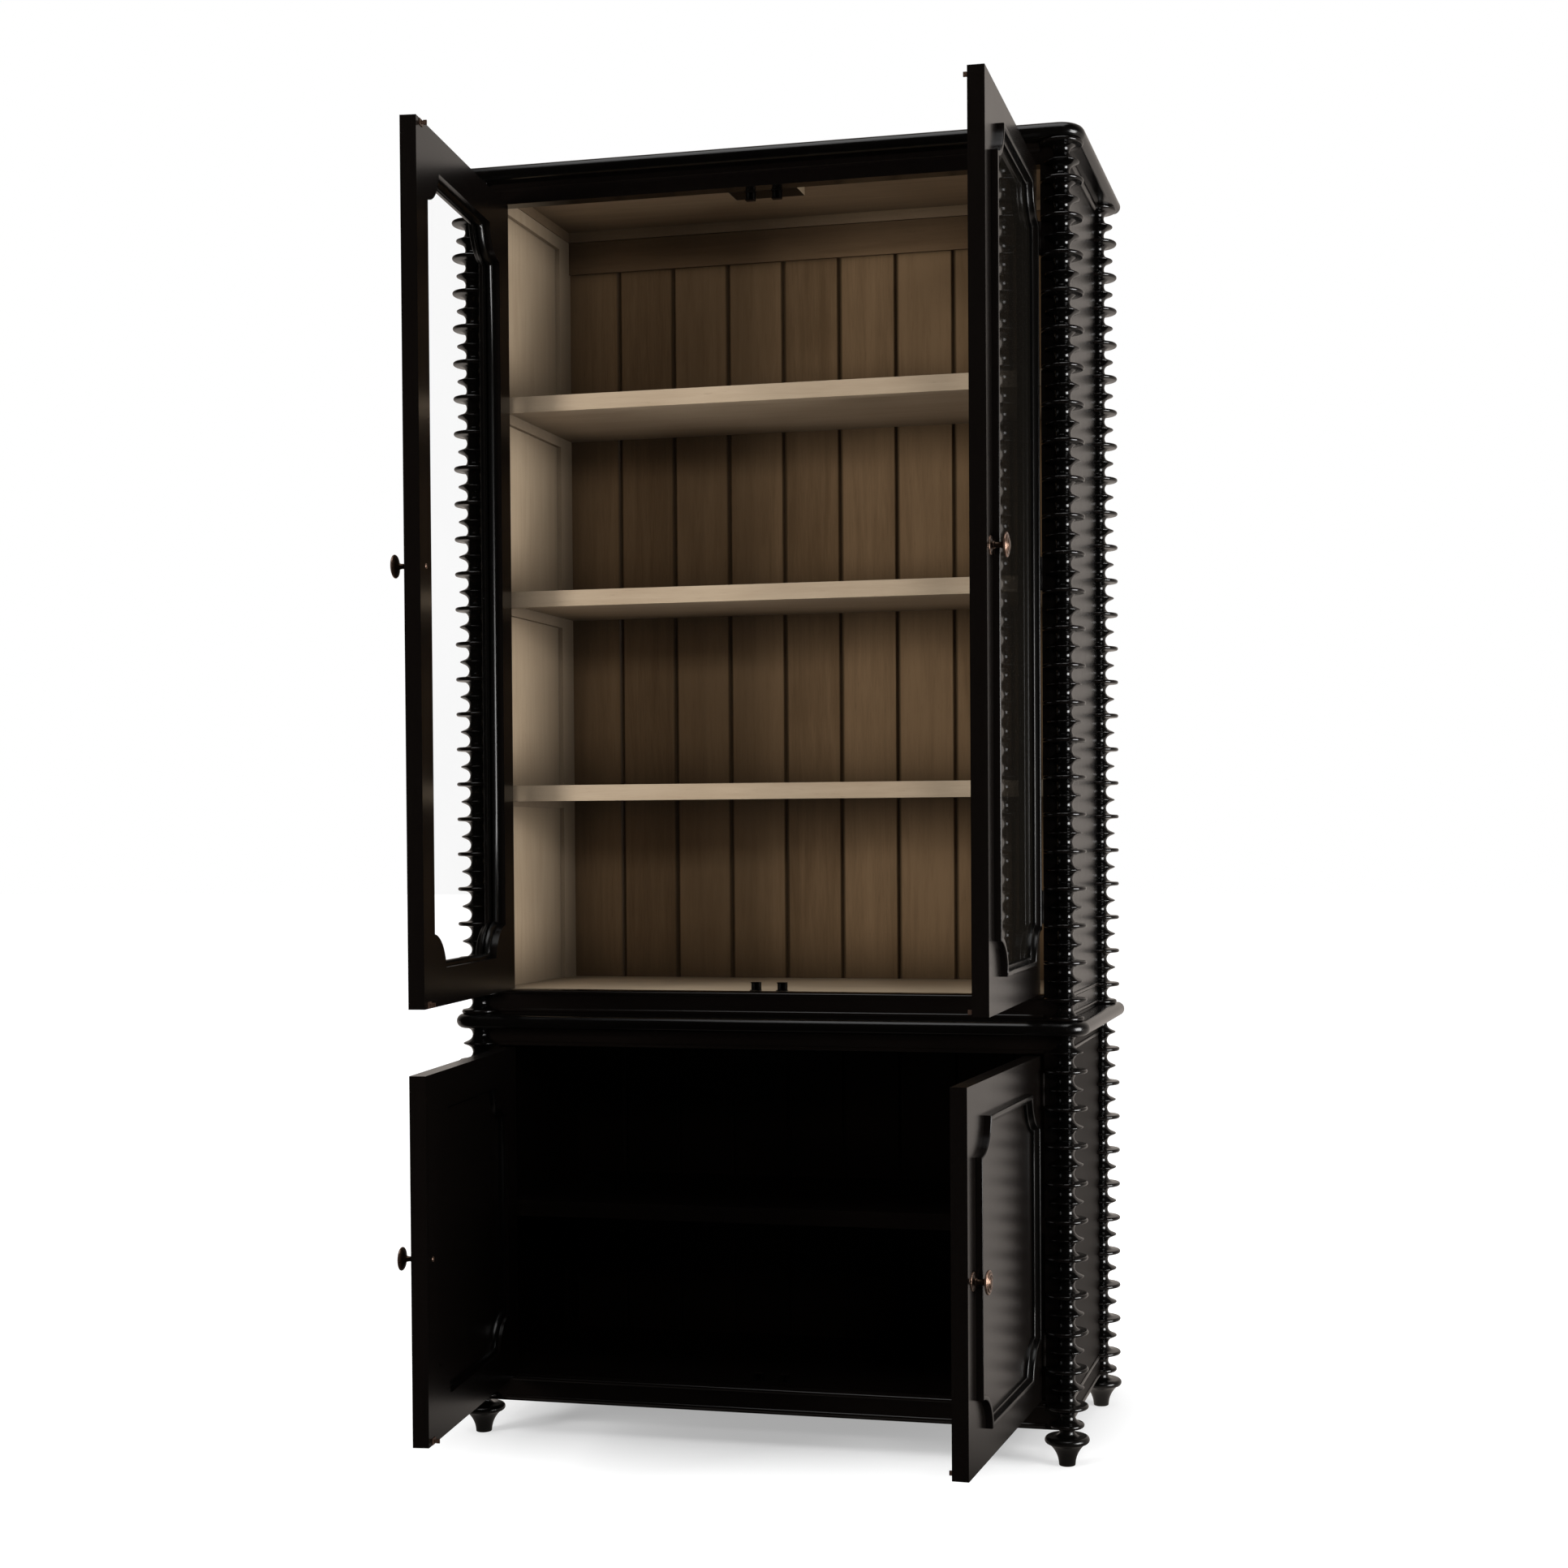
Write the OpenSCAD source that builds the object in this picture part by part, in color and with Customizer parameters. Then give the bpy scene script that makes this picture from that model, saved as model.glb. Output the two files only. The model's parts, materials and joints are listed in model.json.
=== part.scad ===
// Two-part display cabinet with spool-turned corner posts, glazed doors above and panelled doors below.
// Millimetres, +Z up, front towards -Y. The origin is on the floor, under the middle of the whole
// object as it stands with its doors open.

/* [Overall] */
// Height of the whole cabinet
overall_h = 2400; // [2100:10:2700]
// Distance between the corner post axes, left to right
post_span_x = 1132; // [900:2:1400]
// Distance between the corner post axes, front to back
post_span_y = 428; // [360:2:560]
// Height of the waist board's top above the floor
waist_top_z = 803; // [720:1:900]

/* [Boards with half-round edges] */
// Thickness of the cornice board and of the waist board
board_t = 27; // [20:1:36]
// Overhang of the cornice board beyond the front and side post axes
cornice_over = 42; // [40:1:60]
// Overhang of the waist board beyond the front and side post axes
waist_over = 44; // [40:1:60]
// Overhang of both boards beyond the rear post axes
board_over_rear = 40; // [36:1:50]
// Plan radius of the boards' front corners
board_corner_r = 44; // [30:1:60]
// Height of the bed moulding under the cornice board
bed_h = 15; // [10:1:24]
// Projection of the bed moulding
bed_t = 9; // [5:1:14]

/* [Case] */
// Thickness of the front stiles and rails
frame_t = 28; // [22:1:34]
// Width of the front stiles
stile_w = 39; // [39:0.5:48]
// Height of the rail above the upper doors
upper_top_rail_h = 36; // [28:1:60]
// Height of the rail below the upper doors
upper_base_rail_h = 46; // [34:1:70]
// Height of the rail above the lower doors
lower_top_rail_h = 34; // [26:1:60]
// Height of the rail below the lower doors
lower_base_rail_h = 52; // [36:1:80]
// Height of the lower case's underside above the floor
case_lift = 62; // [50:1:90]
// Radius of the half-round beads along the rails
bead_r = 4; // [2:0.5:6]
// Distance of a bead's centre line from the edge that it follows
bead_edge = 7; // [6:0.5:10]
// Thickness of the side panels
side_t = 21; // [14:1:26]
// Thickness of the frame strips on the inside of the side panels
strip_t = 9; // [6:1:14]
// Width of the upright frame strips
strip_w = 58; // [40:1:80]
// Height of the top frame strips
strip_top_h = 25; // [18:1:40]
// Thickness of the back boards
back_t = 15; // [14:1:18]
// Width of one back board
back_board_w = 118; // [80:1:160]
// Width of the gap between two back boards' edges
back_gap = 3; // [2:0.5:4]
// Bevel along the front edges of a back board
back_bevel = 3.5; // [1:0.5:4]
// Thickness of a back board's tongue
back_tongue_t = 5; // [3:0.5:5]
// Length of a back board's tongue inside the next board's groove
back_tongue_l = 5; // [3:0.5:7]
// Height of the rail across the top of the back
back_rail_h = 65; // [40:1:90]
// Thickness of the rail across the top of the back
back_rail_t = 6; // [4:0.5:10]
// Thickness of the case floors
floor_t = 20; // [16:1:30]
// Thickness of the panel that closes the cornice from above
ceiling_t = 5; // [3:0.5:8]
// Shadow gap under the lining of the cornice
lining_gap = 1.5; // [1:0.5:3]

/* [Shelves] */
// Number of shelves in the upper case
upper_shelves = 3; // [3:1:5]
// Distance from the upper floor to the lowest shelf's top
shelf_first = 389; // [250:1:420]
// Distance from the topmost shelf's top to the top of the door opening
shelf_last = 357; // [250:1:420]
// Height of the lower shelf's top above the lower floor
lower_shelf_rise = 327; // [200:1:420]
// Thickness of a shelf board
shelf_t = 18; // [14:1:24]
// Height of the lipping along a shelf's front edge
lipping_h = 30; // [26:1:44]
// Thickness of the lipping
lipping_t = 20; // [12:1:28]
// Height of a shelf cleat
cleat_h = 20; // [14:1:30]
// Clearance between a shelf and what stands beside it
shelf_gap = 0.5; // [0.3:0.1:1.5]
// Distance of a shelf's front edge behind the front frame
shelf_setback = 5; // [2.5:0.5:12]

/* [Posts and feet] */
// Pairs of a large and a small disc on an upper post
upper_pairs = 23; // [18:1:26]
// Pairs of a large and a small disc on a lower post
lower_pairs = 10; // [8:1:11]
// Radius of the large discs
disc_r = 39; // [36:0.5:39.5]
// Radius of the small discs
small_disc_r = 29.5; // [26:0.5:33]
// Radius of the disc at the foot of an upper post
base_disc_r = 34; // [30:0.5:38]
// Radius of the neck between two discs
neck_r = 15.7; // [13:0.1:19]
// Half thickness of a disc's rounded lip
lip_r = 2.3; // [1.5:0.1:3]
// Radius of the hollow between two discs, as a share of the distance from disc to neck
cove_share = 0.78; // [0.74:0.01:0.82]
// Distance by which the topmost disc of a lower post would stand above the post's end
lower_top_hidden = 4; // [2.5:0.1:6]
// Half thickness of the thick disc near a lower post's foot end
thick_disc_lip = 4; // [3:0.1:5]
// Height of the thick disc above a lower post's foot end
thick_disc_rise = 11; // [9:0.5:13]
// Height of the lowest large disc above a lower post's foot end
lower_tail = 45; // [38:0.5:52]
// Radius of the wide ring at the top of a foot
foot_ring_r = 41; // [36:0.5:46]
// Height of the wide ring at the top of a foot
foot_ring_h = 13; // [8:0.5:18]
// Radius of a foot where it stands on the floor
foot_bottom_r = 15; // [12:0.5:20]
// Radius of the foot's taper under its ring
foot_flare_r = 34; // [28:0.5:34.5]
// Height of the collar between the foot's ring and the case
foot_collar_h = 9; // [6:0.5:14]

/* [Doors] */
// Thickness of the doors
door_t = 28; // [22:1:32]
// Gap between a door and the frame at its top and bottom
door_gap = 2; // [1:0.5:4]
// Gap between the two doors of a pair
meeting_gap = 3; // [2:0.5:5]
// Width of a door's stiles
door_stile_w = 57; // [50:1:75]
// Height of a door's rails
door_rail_h = 64; // [60:1:90]
// Width of the moulding round the glass or panel
moulding_w = 25; // [18:1:34]
// Projection of the moulding from the door's face
moulding_proud = 11; // [6:0.5:14]
// Width of the raised bead on the moulding
moulding_bead_w = 15; // [8:1:18]
// Distance that the moulding overlaps the door's frame
moulding_lap = 7; // [5:1:12]
// Radius of the moulding's hollow corners, at its outer edge
notch_r = 60; // [40:1:80]
// Depth of the glass and the panels behind the door's face
infill_depth = 3; // [2:0.5:6]
// Thickness of the glass
glass_t = 4; // [3:0.5:6]
// Thickness of a lower door's panel
panel_t = 10; // [6:1:14]
// Side of the square strip that holds the glass or panel from behind
stop_s = 9; // [6:0.5:12]
// Clearance round the glass and the panels
infill_gap = 0.5; // [0.3:0.1:1.5]
// Angle at which the upper left door stands open
upper_left_open = 83; // [60:1:100]
// Angle at which the upper right door stands open
upper_right_open = 91; // [60:1:100]
// Angle at which the lower left door stands open
lower_left_open = 83; // [60:1:100]
// Angle at which the lower right door stands open
lower_right_open = 87; // [60:1:100]

/* [Hinges] */
// Length of a hinge
hinge_l = 58; // [44:1:58]
// Radius of a hinge's knuckles
knuckle_r = 3.5; // [3:0.1:3.7]
// Distance of a hinge pin's axis in front of the case's face
pin_out = 4; // [4:0.1:5]
// Radius of a hinge pin
pin_r = 1.8; // [1.4:0.1:2.2]
// Running clearance between a pin and a door's knuckle
pin_gap = 0.05; // [0.03:0.01:0.1]
// Thickness of a hinge leaf
leaf_t = 1.3; // [1:0.1:1.6]
// Width of a hinge leaf
leaf_w = 22; // [16:1:24]
// Gap between the two leaves of a closed hinge
leaf_gap = 0.4; // [0.3:0.1:0.8]
// Gap between two knuckles of a hinge
knuckle_gap = 0.3; // [0.2:0.1:0.5]
// Radius of the head on each end of a pin
pin_head_r = 3; // [2.4:0.1:3.4]
// Thickness of a pin's head
pin_head_t = 1; // [0.6:0.1:1.4]
// Number of hinges on an upper door
upper_hinges = 3; // [2:1:3]
// Small disc beside which the upper doors' top hinge stands, counted from the top
upper_hinge_first = 3; // [2:1:4]
// Small discs from one hinge of an upper door to the next
upper_hinge_step = 9; // [8:1:9]
// Small disc beside which the lower doors' top hinge stands, counted from the top
lower_hinge_first = 2; // [2:1:3]
// Small discs from one hinge of a lower door to the next
lower_hinge_step = 7; // [4:1:7]

/* [Knobs] */
// Distance of a knob's axis from its door's free edge
knob_inset = 31; // [24:1:32]
// Radius of a knob's head
knob_r = 20; // [14:0.5:24]
// Distance from the door's face to the front of the knob
knob_proud = 32; // [24:1:40]
// Height of the knob's head
knob_head_h = 8; // [5:0.5:12]
// Radius of the knob's stem at its waist
knob_stem_r = 5; // [4:0.5:7]
// Radius of the round plate behind a knob
rosette_r = 15.5; // [12:0.5:16]
// Thickness of the round plate behind a knob
rosette_t = 3; // [2:0.5:5]
// Radius of the knob's screw
knob_screw_r = 2; // [1.5:0.1:2.5]
// Radius of the knob screw's head
knob_screw_head_r = 4.5; // [3.5:0.1:6]
// Thickness of the knob screw's head
knob_screw_head_t = 1.5; // [1:0.1:2]

/* [Catches] */
// Distance of a catch's middle from the middle of the case
catch_x = 25.5; // [22:0.5:32]
// Length of a catch, across the case
catch_l = 20; // [18:0.5:30]
// Height of a catch
catch_h = 16; // [13:0.5:18]
// Depth of a catch, front to back
catch_d = 10; // [10:0.5:12]
// Thickness of the catch's bent plate
catch_plate_t = 1.5; // [1:0.1:2]
// Radius of a catch's two rollers
roller_r = 3.2; // [2.6:0.1:3.6]
// Gap between the two rollers of a catch
roller_gap = 4.6; // [4:0.1:5]
// Thickness of the strike's tongue
tongue_t = 3; // [2:0.1:3.4]
// Height of the strike's tongue at its neck
tongue_h = 5; // [3:0.5:6]
// Height of the tongue's head
tongue_head_h = 7.5; // [6:0.5:9]
// Length of the tongue's head
tongue_head_l = 6; // [4:0.5:7]
// Length of the strike's tongue with its head, from the door's inner face
tongue_l = 10.5; // [9:0.5:10.5]
// Width of the strike's plate
strike_plate_w = 16; // [12:0.5:20]
// Height of the strike's plate
strike_plate_h = 11; // [9:0.5:11.5]
// Distance of a strike's plate from the door's lower or upper edge
strike_edge = 0.5; // [0.3:0.1:1]
// Length of the block that carries the top catches
block_l = 134; // [110:1:200]
// Depth of the block that carries the top catches
block_d = 50; // [26:1:60]

/* [Hidden] */
$fn = 96;

// How far a cutting tool runs past the face that it cuts
overrun = 1;

// The case's outer faces and the insides of its frame
half_x = post_span_x / 2;
front_y = -post_span_y / 2;
rear_y = post_span_y / 2;
frame_rear_y = front_y + frame_t;
open_half = half_x - stile_w;
panel_in_x = half_x - side_t;
strip_in_x = panel_in_x - strip_t;
boards_front_y = rear_y - back_t;
rear_rail_y = boards_front_y - back_rail_t;

// Levels, from the floor up
lower_open_z = case_lift + lower_base_rail_h;
waist_bottom_z = waist_top_z - board_t;
lower_open_top_z = waist_bottom_z - lower_top_rail_h;
upper_open_z = waist_top_z + upper_base_rail_h;
cornice_bottom_z = overall_h - board_t;
upper_open_top_z = cornice_bottom_z - upper_top_rail_h;
ceiling_z = overall_h - ceiling_t;

// The posts' turnings
upper_post_h = cornice_bottom_z - waist_top_z;
base_disc_fall = 4;
base_disc_h = 2 * lip_r + base_disc_fall;
upper_tail_share = 0.45;
upper_pair_pitch = (upper_post_h - lip_r - base_disc_h) / (upper_pairs + upper_tail_share);
foot_ring_z = case_lift - foot_collar_h - foot_ring_h / 2;
foot_top_z = case_lift;
lower_post_h = waist_bottom_z - foot_top_z;
lower_pair_pitch = (lower_post_h + lower_top_hidden - lower_tail) / lower_pairs;
lip_room_share = 1.15;

// The doors, measured from the hinge pin's axis with the door shut
hinge_side_gap = 2 * leaf_t + leaf_gap;
pin_x = open_half - hinge_side_gap / 2;
pin_y = front_y - pin_out;
door_near = hinge_side_gap / 2;
door_w = open_half - hinge_side_gap - meeting_gap / 2;
upper_door_h = upper_open_top_z - upper_open_z - 2 * door_gap;
lower_door_h = lower_open_top_z - lower_open_z - 2 * door_gap;
moulding_in_x = door_stile_w - moulding_lap;
moulding_in_z = door_rail_h - moulding_lap;
door_face_y = pin_out;
door_inner_y = pin_out + door_t;

// The whole object's middle, front to back, with the doors standing open
function door_reach(angle) = (door_near + door_w) * sin(angle) - door_inner_y * cos(angle);
reach_front = pin_y - max(door_reach(upper_left_open), door_reach(upper_right_open));
reach_rear = post_span_y / 2 + board_over_rear;
origin_shift = -(reach_front + reach_rear) / 2;

black = [0.07, 0.07, 0.07];
bleached = [0.66, 0.58, 0.47];
bronze = [0.42, 0.33, 0.22];

module placed() {
  translate([0, origin_shift, 0]) children();
}

module block(low, high) {
  translate(low) cube([high[0] - low[0], high[1] - low[1], high[2] - low[2]]);
}

module both_sides() {
  children();
  mirror([1, 0, 0]) children();
}

// Boards with a half-round edge

module half_disc(r) {
  intersection() {
    circle(r = r);
    translate([0, -r]) square([r, 2 * r]);
  }
}

module half_round_board(over, bottom_z) {
  edge_r = board_t / 2;
  core_x = post_span_x / 2 + over - edge_r;
  core_front = -(post_span_y / 2 + over - edge_r);
  core_rear = post_span_y / 2 + board_over_rear;
  turn_r = board_corner_r - edge_r;
  translate([0, 0, bottom_z]) linear_extrude(board_t) union() {
    translate([-core_x, core_front + turn_r]) square([2 * core_x, core_rear - core_front - turn_r]);
    translate([-core_x + turn_r, core_front]) square([2 * (core_x - turn_r), turn_r]);
    for (side = [-1, 1])
      translate([side * (core_x - turn_r), core_front + turn_r]) circle(r = turn_r);
  }
  translate([-core_x + turn_r, core_front, bottom_z + edge_r])
    rotate([90, 0, 90]) mirror([1, 0, 0]) linear_extrude(2 * (core_x - turn_r)) half_disc(edge_r);
  both_sides() {
    translate([core_x, core_rear, bottom_z + edge_r])
      rotate([90, 0, 0]) linear_extrude(core_rear - core_front - turn_r) half_disc(edge_r);
    translate([core_x - turn_r, core_front + turn_r, bottom_z + edge_r])
      rotate([0, 0, -90]) rotate_extrude(angle = 90) translate([turn_r, 0]) half_disc(edge_r);
  }
}

// The cornice is a frame round the ceiling
module cornice_board() {
  color(black) placed() difference() {
    half_round_board(cornice_over, cornice_bottom_z);
    block(
      [-panel_in_x, frame_rear_y, cornice_bottom_z - overrun],
      [panel_in_x, boards_front_y, overall_h + overrun]
    );
  }
}

module waist_board() {
  color(black) placed() half_round_board(waist_over, waist_bottom_z);
}

// A quarter-hollow strip under the cornice, its top and back flush with board and case
module bed_profile() {
  difference() {
    square([bed_t, bed_h]);
    translate([bed_t, 0]) circle(r = bed_t - bed_t * bed_flat_share);
  }
}
bed_flat_share = 0.25;

module cornice_moulding() {
  reach_x = post_span_x / 2 - disc_r - shelf_gap;
  reach_y = post_span_y / 2 - disc_r - shelf_gap;
  color(black) placed() {
    translate([-reach_x, front_y, cornice_bottom_z - bed_h])
      rotate([90, 0, 90]) mirror([1, 0, 0]) linear_extrude(2 * reach_x) bed_profile();
    both_sides() translate([half_x, reach_y, cornice_bottom_z - bed_h])
      rotate([90, 0, 0]) linear_extrude(2 * reach_y) bed_profile();
  }
}

// Front frame

module upper_top_rail() {
  color(black) placed()
    block([-open_half, front_y, upper_open_top_z], [open_half, frame_rear_y, cornice_bottom_z]);
}

module upper_bottom_rail() {
  color(black) placed()
    block([-open_half, front_y, waist_top_z], [open_half, frame_rear_y, upper_open_z]);
}

module lower_top_rail() {
  color(black) placed()
    block([-open_half, front_y, lower_open_top_z], [open_half, frame_rear_y, waist_bottom_z]);
}

module lower_bottom_rail() {
  color(black) placed()
    block([-open_half, front_y, case_lift], [open_half, frame_rear_y, lower_open_z]);
}

module front_stiles() {
  color(black) placed() both_sides() {
    block([open_half, front_y, waist_top_z], [half_x, frame_rear_y, cornice_bottom_z]);
    block([open_half, front_y, case_lift], [half_x, frame_rear_y, waist_bottom_z]);
  }
}

// Half-round beads along the rails, on the front and on both sides
module bead_run(level) {
  reach_x = post_span_x / 2 - disc_r - shelf_gap;
  reach_y = post_span_y / 2 - disc_r - shelf_gap;
  translate([-reach_x, front_y, level])
    rotate([90, 0, 90]) mirror([1, 0, 0]) linear_extrude(2 * reach_x) half_disc(bead_r);
  both_sides() translate([half_x, reach_y, level])
    rotate([90, 0, 0]) linear_extrude(2 * reach_y) half_disc(bead_r);
}

module rail_beads() {
  color(black) placed() {
    bead_run(upper_open_z - bead_edge + bead_r / 2);
    bead_run(waist_top_z + bead_edge);
    bead_run(lower_open_top_z + bead_r);
    bead_run(lower_open_z - bead_edge - bead_r / 2);
    bead_run(case_lift + bead_edge);
  }
}

// Sides: a plain panel outside, a frame of strips on its inner face

module side(bottom_z, top_z, floor_z) {
  block([panel_in_x, frame_rear_y, bottom_z], [half_x, rear_y, top_z]);
  block([strip_in_x, frame_rear_y, floor_z], [panel_in_x, frame_rear_y + strip_w, top_z]);
  block([strip_in_x, boards_front_y - strip_w, floor_z], [panel_in_x, boards_front_y, top_z]);
  block(
    [strip_in_x, frame_rear_y + strip_w, top_z - strip_top_h],
    [panel_in_x, boards_front_y - strip_w, top_z]
  );
}

module upper_side() {
  side(waist_top_z, cornice_bottom_z, upper_open_z);
}

module lower_side() {
  side(case_lift, waist_bottom_z, lower_open_z);
}

module upper_side_left() {
  color(bleached) placed() mirror([1, 0, 0]) upper_side();
}

module upper_side_right() {
  color(bleached) placed() upper_side();
}

module lower_side_left() {
  color(black) placed() mirror([1, 0, 0]) lower_side();
}

module lower_side_right() {
  color(black) placed() lower_side();
}

// Back, floors and shelves

// The last back board takes what is left of the width, but never less than this share of a board
last_board_share = 0.2;
back_board_count = ceil(2 * panel_in_x / back_board_w - last_board_share);
back_tongue_gap = 0.3;

// A back board in plan: bevelled front edges, a groove in its left edge, a tongue on its right edge
module back_board(i) {
  low_x = -panel_in_x + i * back_board_w;
  last = i == back_board_count - 1;
  high_x = last ? panel_in_x : low_x + back_board_w - back_gap;
  mid_y = boards_front_y + back_t / 2;
  tongue_end_x = high_x + back_gap + back_tongue_l;
  tongue_half = back_tongue_t / 2;
  groove_end_x = low_x + back_tongue_l + back_tongue_gap;
  groove_half = tongue_half + back_tongue_gap;
  tongue = [
    [high_x, mid_y - tongue_half],
    [tongue_end_x, mid_y - tongue_half],
    [tongue_end_x, mid_y + tongue_half],
    [high_x, mid_y + tongue_half]
  ];
  groove = [
    [low_x, mid_y + groove_half],
    [groove_end_x, mid_y + groove_half],
    [groove_end_x, mid_y - groove_half],
    [low_x, mid_y - groove_half]
  ];
  polygon(concat(
    [
      [low_x, boards_front_y + back_bevel],
      [low_x + back_bevel, boards_front_y],
      [high_x - back_bevel, boards_front_y],
      [high_x, boards_front_y + back_bevel]
    ],
    last ? [] : tongue,
    [[high_x, rear_y], [low_x, rear_y]],
    i > 0 ? groove : []
  ));
}

module back_boards(bottom_z, top_z) {
  for (i = [0 : back_board_count - 1])
    translate([0, 0, bottom_z]) linear_extrude(top_z - bottom_z) back_board(i);
}

module upper_back_boards() {
  color(bleached) placed() back_boards(waist_top_z, cornice_bottom_z);
}

module lower_back_boards() {
  color(black) placed() back_boards(case_lift, waist_bottom_z);
}

module upper_back_rail() {
  color(bleached) placed() block(
    [-strip_in_x, rear_rail_y, cornice_bottom_z - back_rail_h],
    [strip_in_x, boards_front_y, cornice_bottom_z]
  );
}

// The panel that closes the cornice from above, and the lining of the cornice at the sides and the back
module upper_ceiling() {
  lining_z = cornice_bottom_z + lining_gap;
  color(bleached) placed() {
    block([-panel_in_x, frame_rear_y, ceiling_z], [panel_in_x, boards_front_y, overall_h]);
    both_sides() block([strip_in_x, frame_rear_y, lining_z], [panel_in_x, boards_front_y, ceiling_z]);
    block([-strip_in_x, rear_rail_y, lining_z], [strip_in_x, boards_front_y, ceiling_z]);
  }
}

module case_floor(top_z) {
  block([-panel_in_x, frame_rear_y, top_z - floor_t], [panel_in_x, boards_front_y, top_z]);
}

module upper_floor() {
  color(bleached) placed() case_floor(upper_open_z);
}

module lower_floor() {
  color(black) placed() case_floor(lower_open_z);
}

// A shelf with its lipping: its ends reach between the upright strips and lie on the cleats
module shelf(top_z) {
  narrow_x = strip_in_x - shelf_gap;
  wide_x = panel_in_x - shelf_gap;
  lipping_front_y = frame_rear_y + shelf_setback;
  lipping_rear_y = lipping_front_y + lipping_t;
  wide_front_y = frame_rear_y + strip_w + shelf_gap;
  wide_rear_y = boards_front_y - strip_w - shelf_gap;
  translate([0, 0, top_z - shelf_t]) linear_extrude(shelf_t) union() {
    translate([-narrow_x, lipping_rear_y])
      square([2 * narrow_x, boards_front_y - shelf_gap - lipping_rear_y]);
    translate([-wide_x, wide_front_y]) square([2 * wide_x, wide_rear_y - wide_front_y]);
  }
  block([-narrow_x, lipping_front_y, top_z - lipping_h], [narrow_x, lipping_rear_y, top_z]);
}

shelf_pitch = (upper_open_top_z - upper_open_z - shelf_first - shelf_last) / (upper_shelves - 1);
function shelf_z(index) = upper_open_z + shelf_first + index * shelf_pitch;
lower_shelf_z = lower_open_z + lower_shelf_rise;

module shelf_bottom() {
  color(bleached) placed() shelf(shelf_z(0));
}

module shelf_middle() {
  color(bleached) placed() shelf(shelf_z(1));
}

module shelf_top() {
  color(bleached) placed() for (index = [2 : upper_shelves - 1]) shelf(shelf_z(index));
}

module lower_shelf() {
  color(black) placed() shelf(lower_shelf_z);
}

module cleat_pair(shelf_top_z) {
  both_sides() block(
    [strip_in_x, frame_rear_y + strip_w, shelf_top_z - shelf_t - cleat_h],
    [panel_in_x, boards_front_y - strip_w, shelf_top_z - shelf_t]
  );
}

module shelf_cleats() {
  color(bleached) placed() {
    for (index = [0 : upper_shelves - 1]) cleat_pair(shelf_z(index));
    cleat_pair(lower_shelf_z);
  }
}

// Posts: discs with rounded lips and hollow necks, three quarters of a round, over the case's corner.
// A post is a list of discs, [height, radius, half thickness of its lip], from the bottom up

function neck_z(discs, i) = (discs[i][0] + discs[i + 1][0]) / 2;
function cove_r(discs, i) =
  let (half_gap = (discs[i + 1][0] - discs[i][0]) / 2)
  min(half_gap * cove_share, half_gap - lip_room_share * max(discs[i][2], discs[i + 1][2]));

// The flank of a disc is the line that touches both its lip and the hollow beside it. Its ends are
// tucked a little way into the two rounds, so that it crosses each of them cleanly
flank_tuck_share = 0.97;
function flank(disc, run, rise, cove) =
  atan2(run, rise) + acos((cove + disc[2]) / sqrt(run * run + rise * rise));

function flank_points(disc, cove, rise, up) =
  let (
    lip_x = disc[1] - disc[2],
    hub_x = neck_r + cove,
    slope = flank(disc, hub_x - lip_x, rise, cove),
    lip_end = disc[2] * flank_tuck_share,
    cove_end = cove * flank_tuck_share
  )
  [
    [lip_x + lip_end * sin(slope), disc[0] + up * lip_end * cos(slope)],
    [hub_x - cove_end * sin(slope), disc[0] + up * (rise - cove_end * cos(slope))]
  ];

module turned_outline(discs, stem_r, top_z) {
  last = len(discs) - 1;
  first_z = discs[0][0] - discs[0][2];
  stem = first_z > 0 ? [[stem_r, 0], [stem_r, first_z]] : [];
  difference() {
    polygon(concat(
      [[0, 0]],
      stem,
      [[discs[0][1] - discs[0][2], first_z]],
      [for (i = [0 : last - 1])
        let (
          cove = cove_r(discs, i),
          rise = neck_z(discs, i) - discs[i][0],
          below = flank_points(discs[i], cove, rise, 1),
          above = flank_points(discs[i + 1], cove, rise, -1)
        )
        each [below[0], below[1], [neck_r + cove, neck_z(discs, i)], above[1], above[0]]
      ],
      [[discs[last][1] - discs[last][2], top_z], [0, top_z]]
    ));
    for (i = [0 : last - 1]) translate([neck_r + cove_r(discs, i), neck_z(discs, i)])
      circle(r = cove_r(discs, i));
  }
  for (disc = discs) translate([disc[1] - disc[2], disc[0]]) circle(r = disc[2]);
}

// The missing quarter is where the case's corner stands
module turning(discs, stem_r, full_top_z, top_z) {
  rotate([0, 0, 180]) rotate_extrude(angle = 270) intersection() {
    turned_outline(discs, stem_r, full_top_z);
    square([disc_r + overrun, top_z]);
  }
}

upper_discs = concat(
  [[base_disc_h / 2, base_disc_r, base_disc_h / 2]],
  [for (i = [upper_pairs * 2 : -1 : 0])
    [
      upper_post_h - lip_r - i * upper_pair_pitch / 2,
      i % 2 == 0 ? disc_r : small_disc_r,
      lip_r
    ]
  ]
);

lower_discs = concat(
  [[thick_disc_rise, small_disc_r, thick_disc_lip]],
  [for (i = [lower_pairs * 2 : -1 : 0])
    [
      lower_post_h + lower_top_hidden - i * lower_pair_pitch / 2,
      i % 2 == 0 ? disc_r : small_disc_r,
      lip_r
    ]
  ]
);

module upper_post() {
  translate([post_span_x / 2, -post_span_y / 2, waist_top_z])
    turning(upper_discs, neck_r, upper_post_h, upper_post_h);
}

module lower_post() {
  translate([post_span_x / 2, -post_span_y / 2, foot_top_z])
    turning(lower_discs, neck_r, lower_post_h + lower_top_hidden + lip_r, lower_post_h);
}

module upper_post_front_right() {
  color(black) placed() upper_post();
}

module upper_post_front_left() {
  color(black) placed() mirror([1, 0, 0]) upper_post();
}

module upper_post_rear_right() {
  color(black) placed() mirror([0, 1, 0]) upper_post();
}

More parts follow.
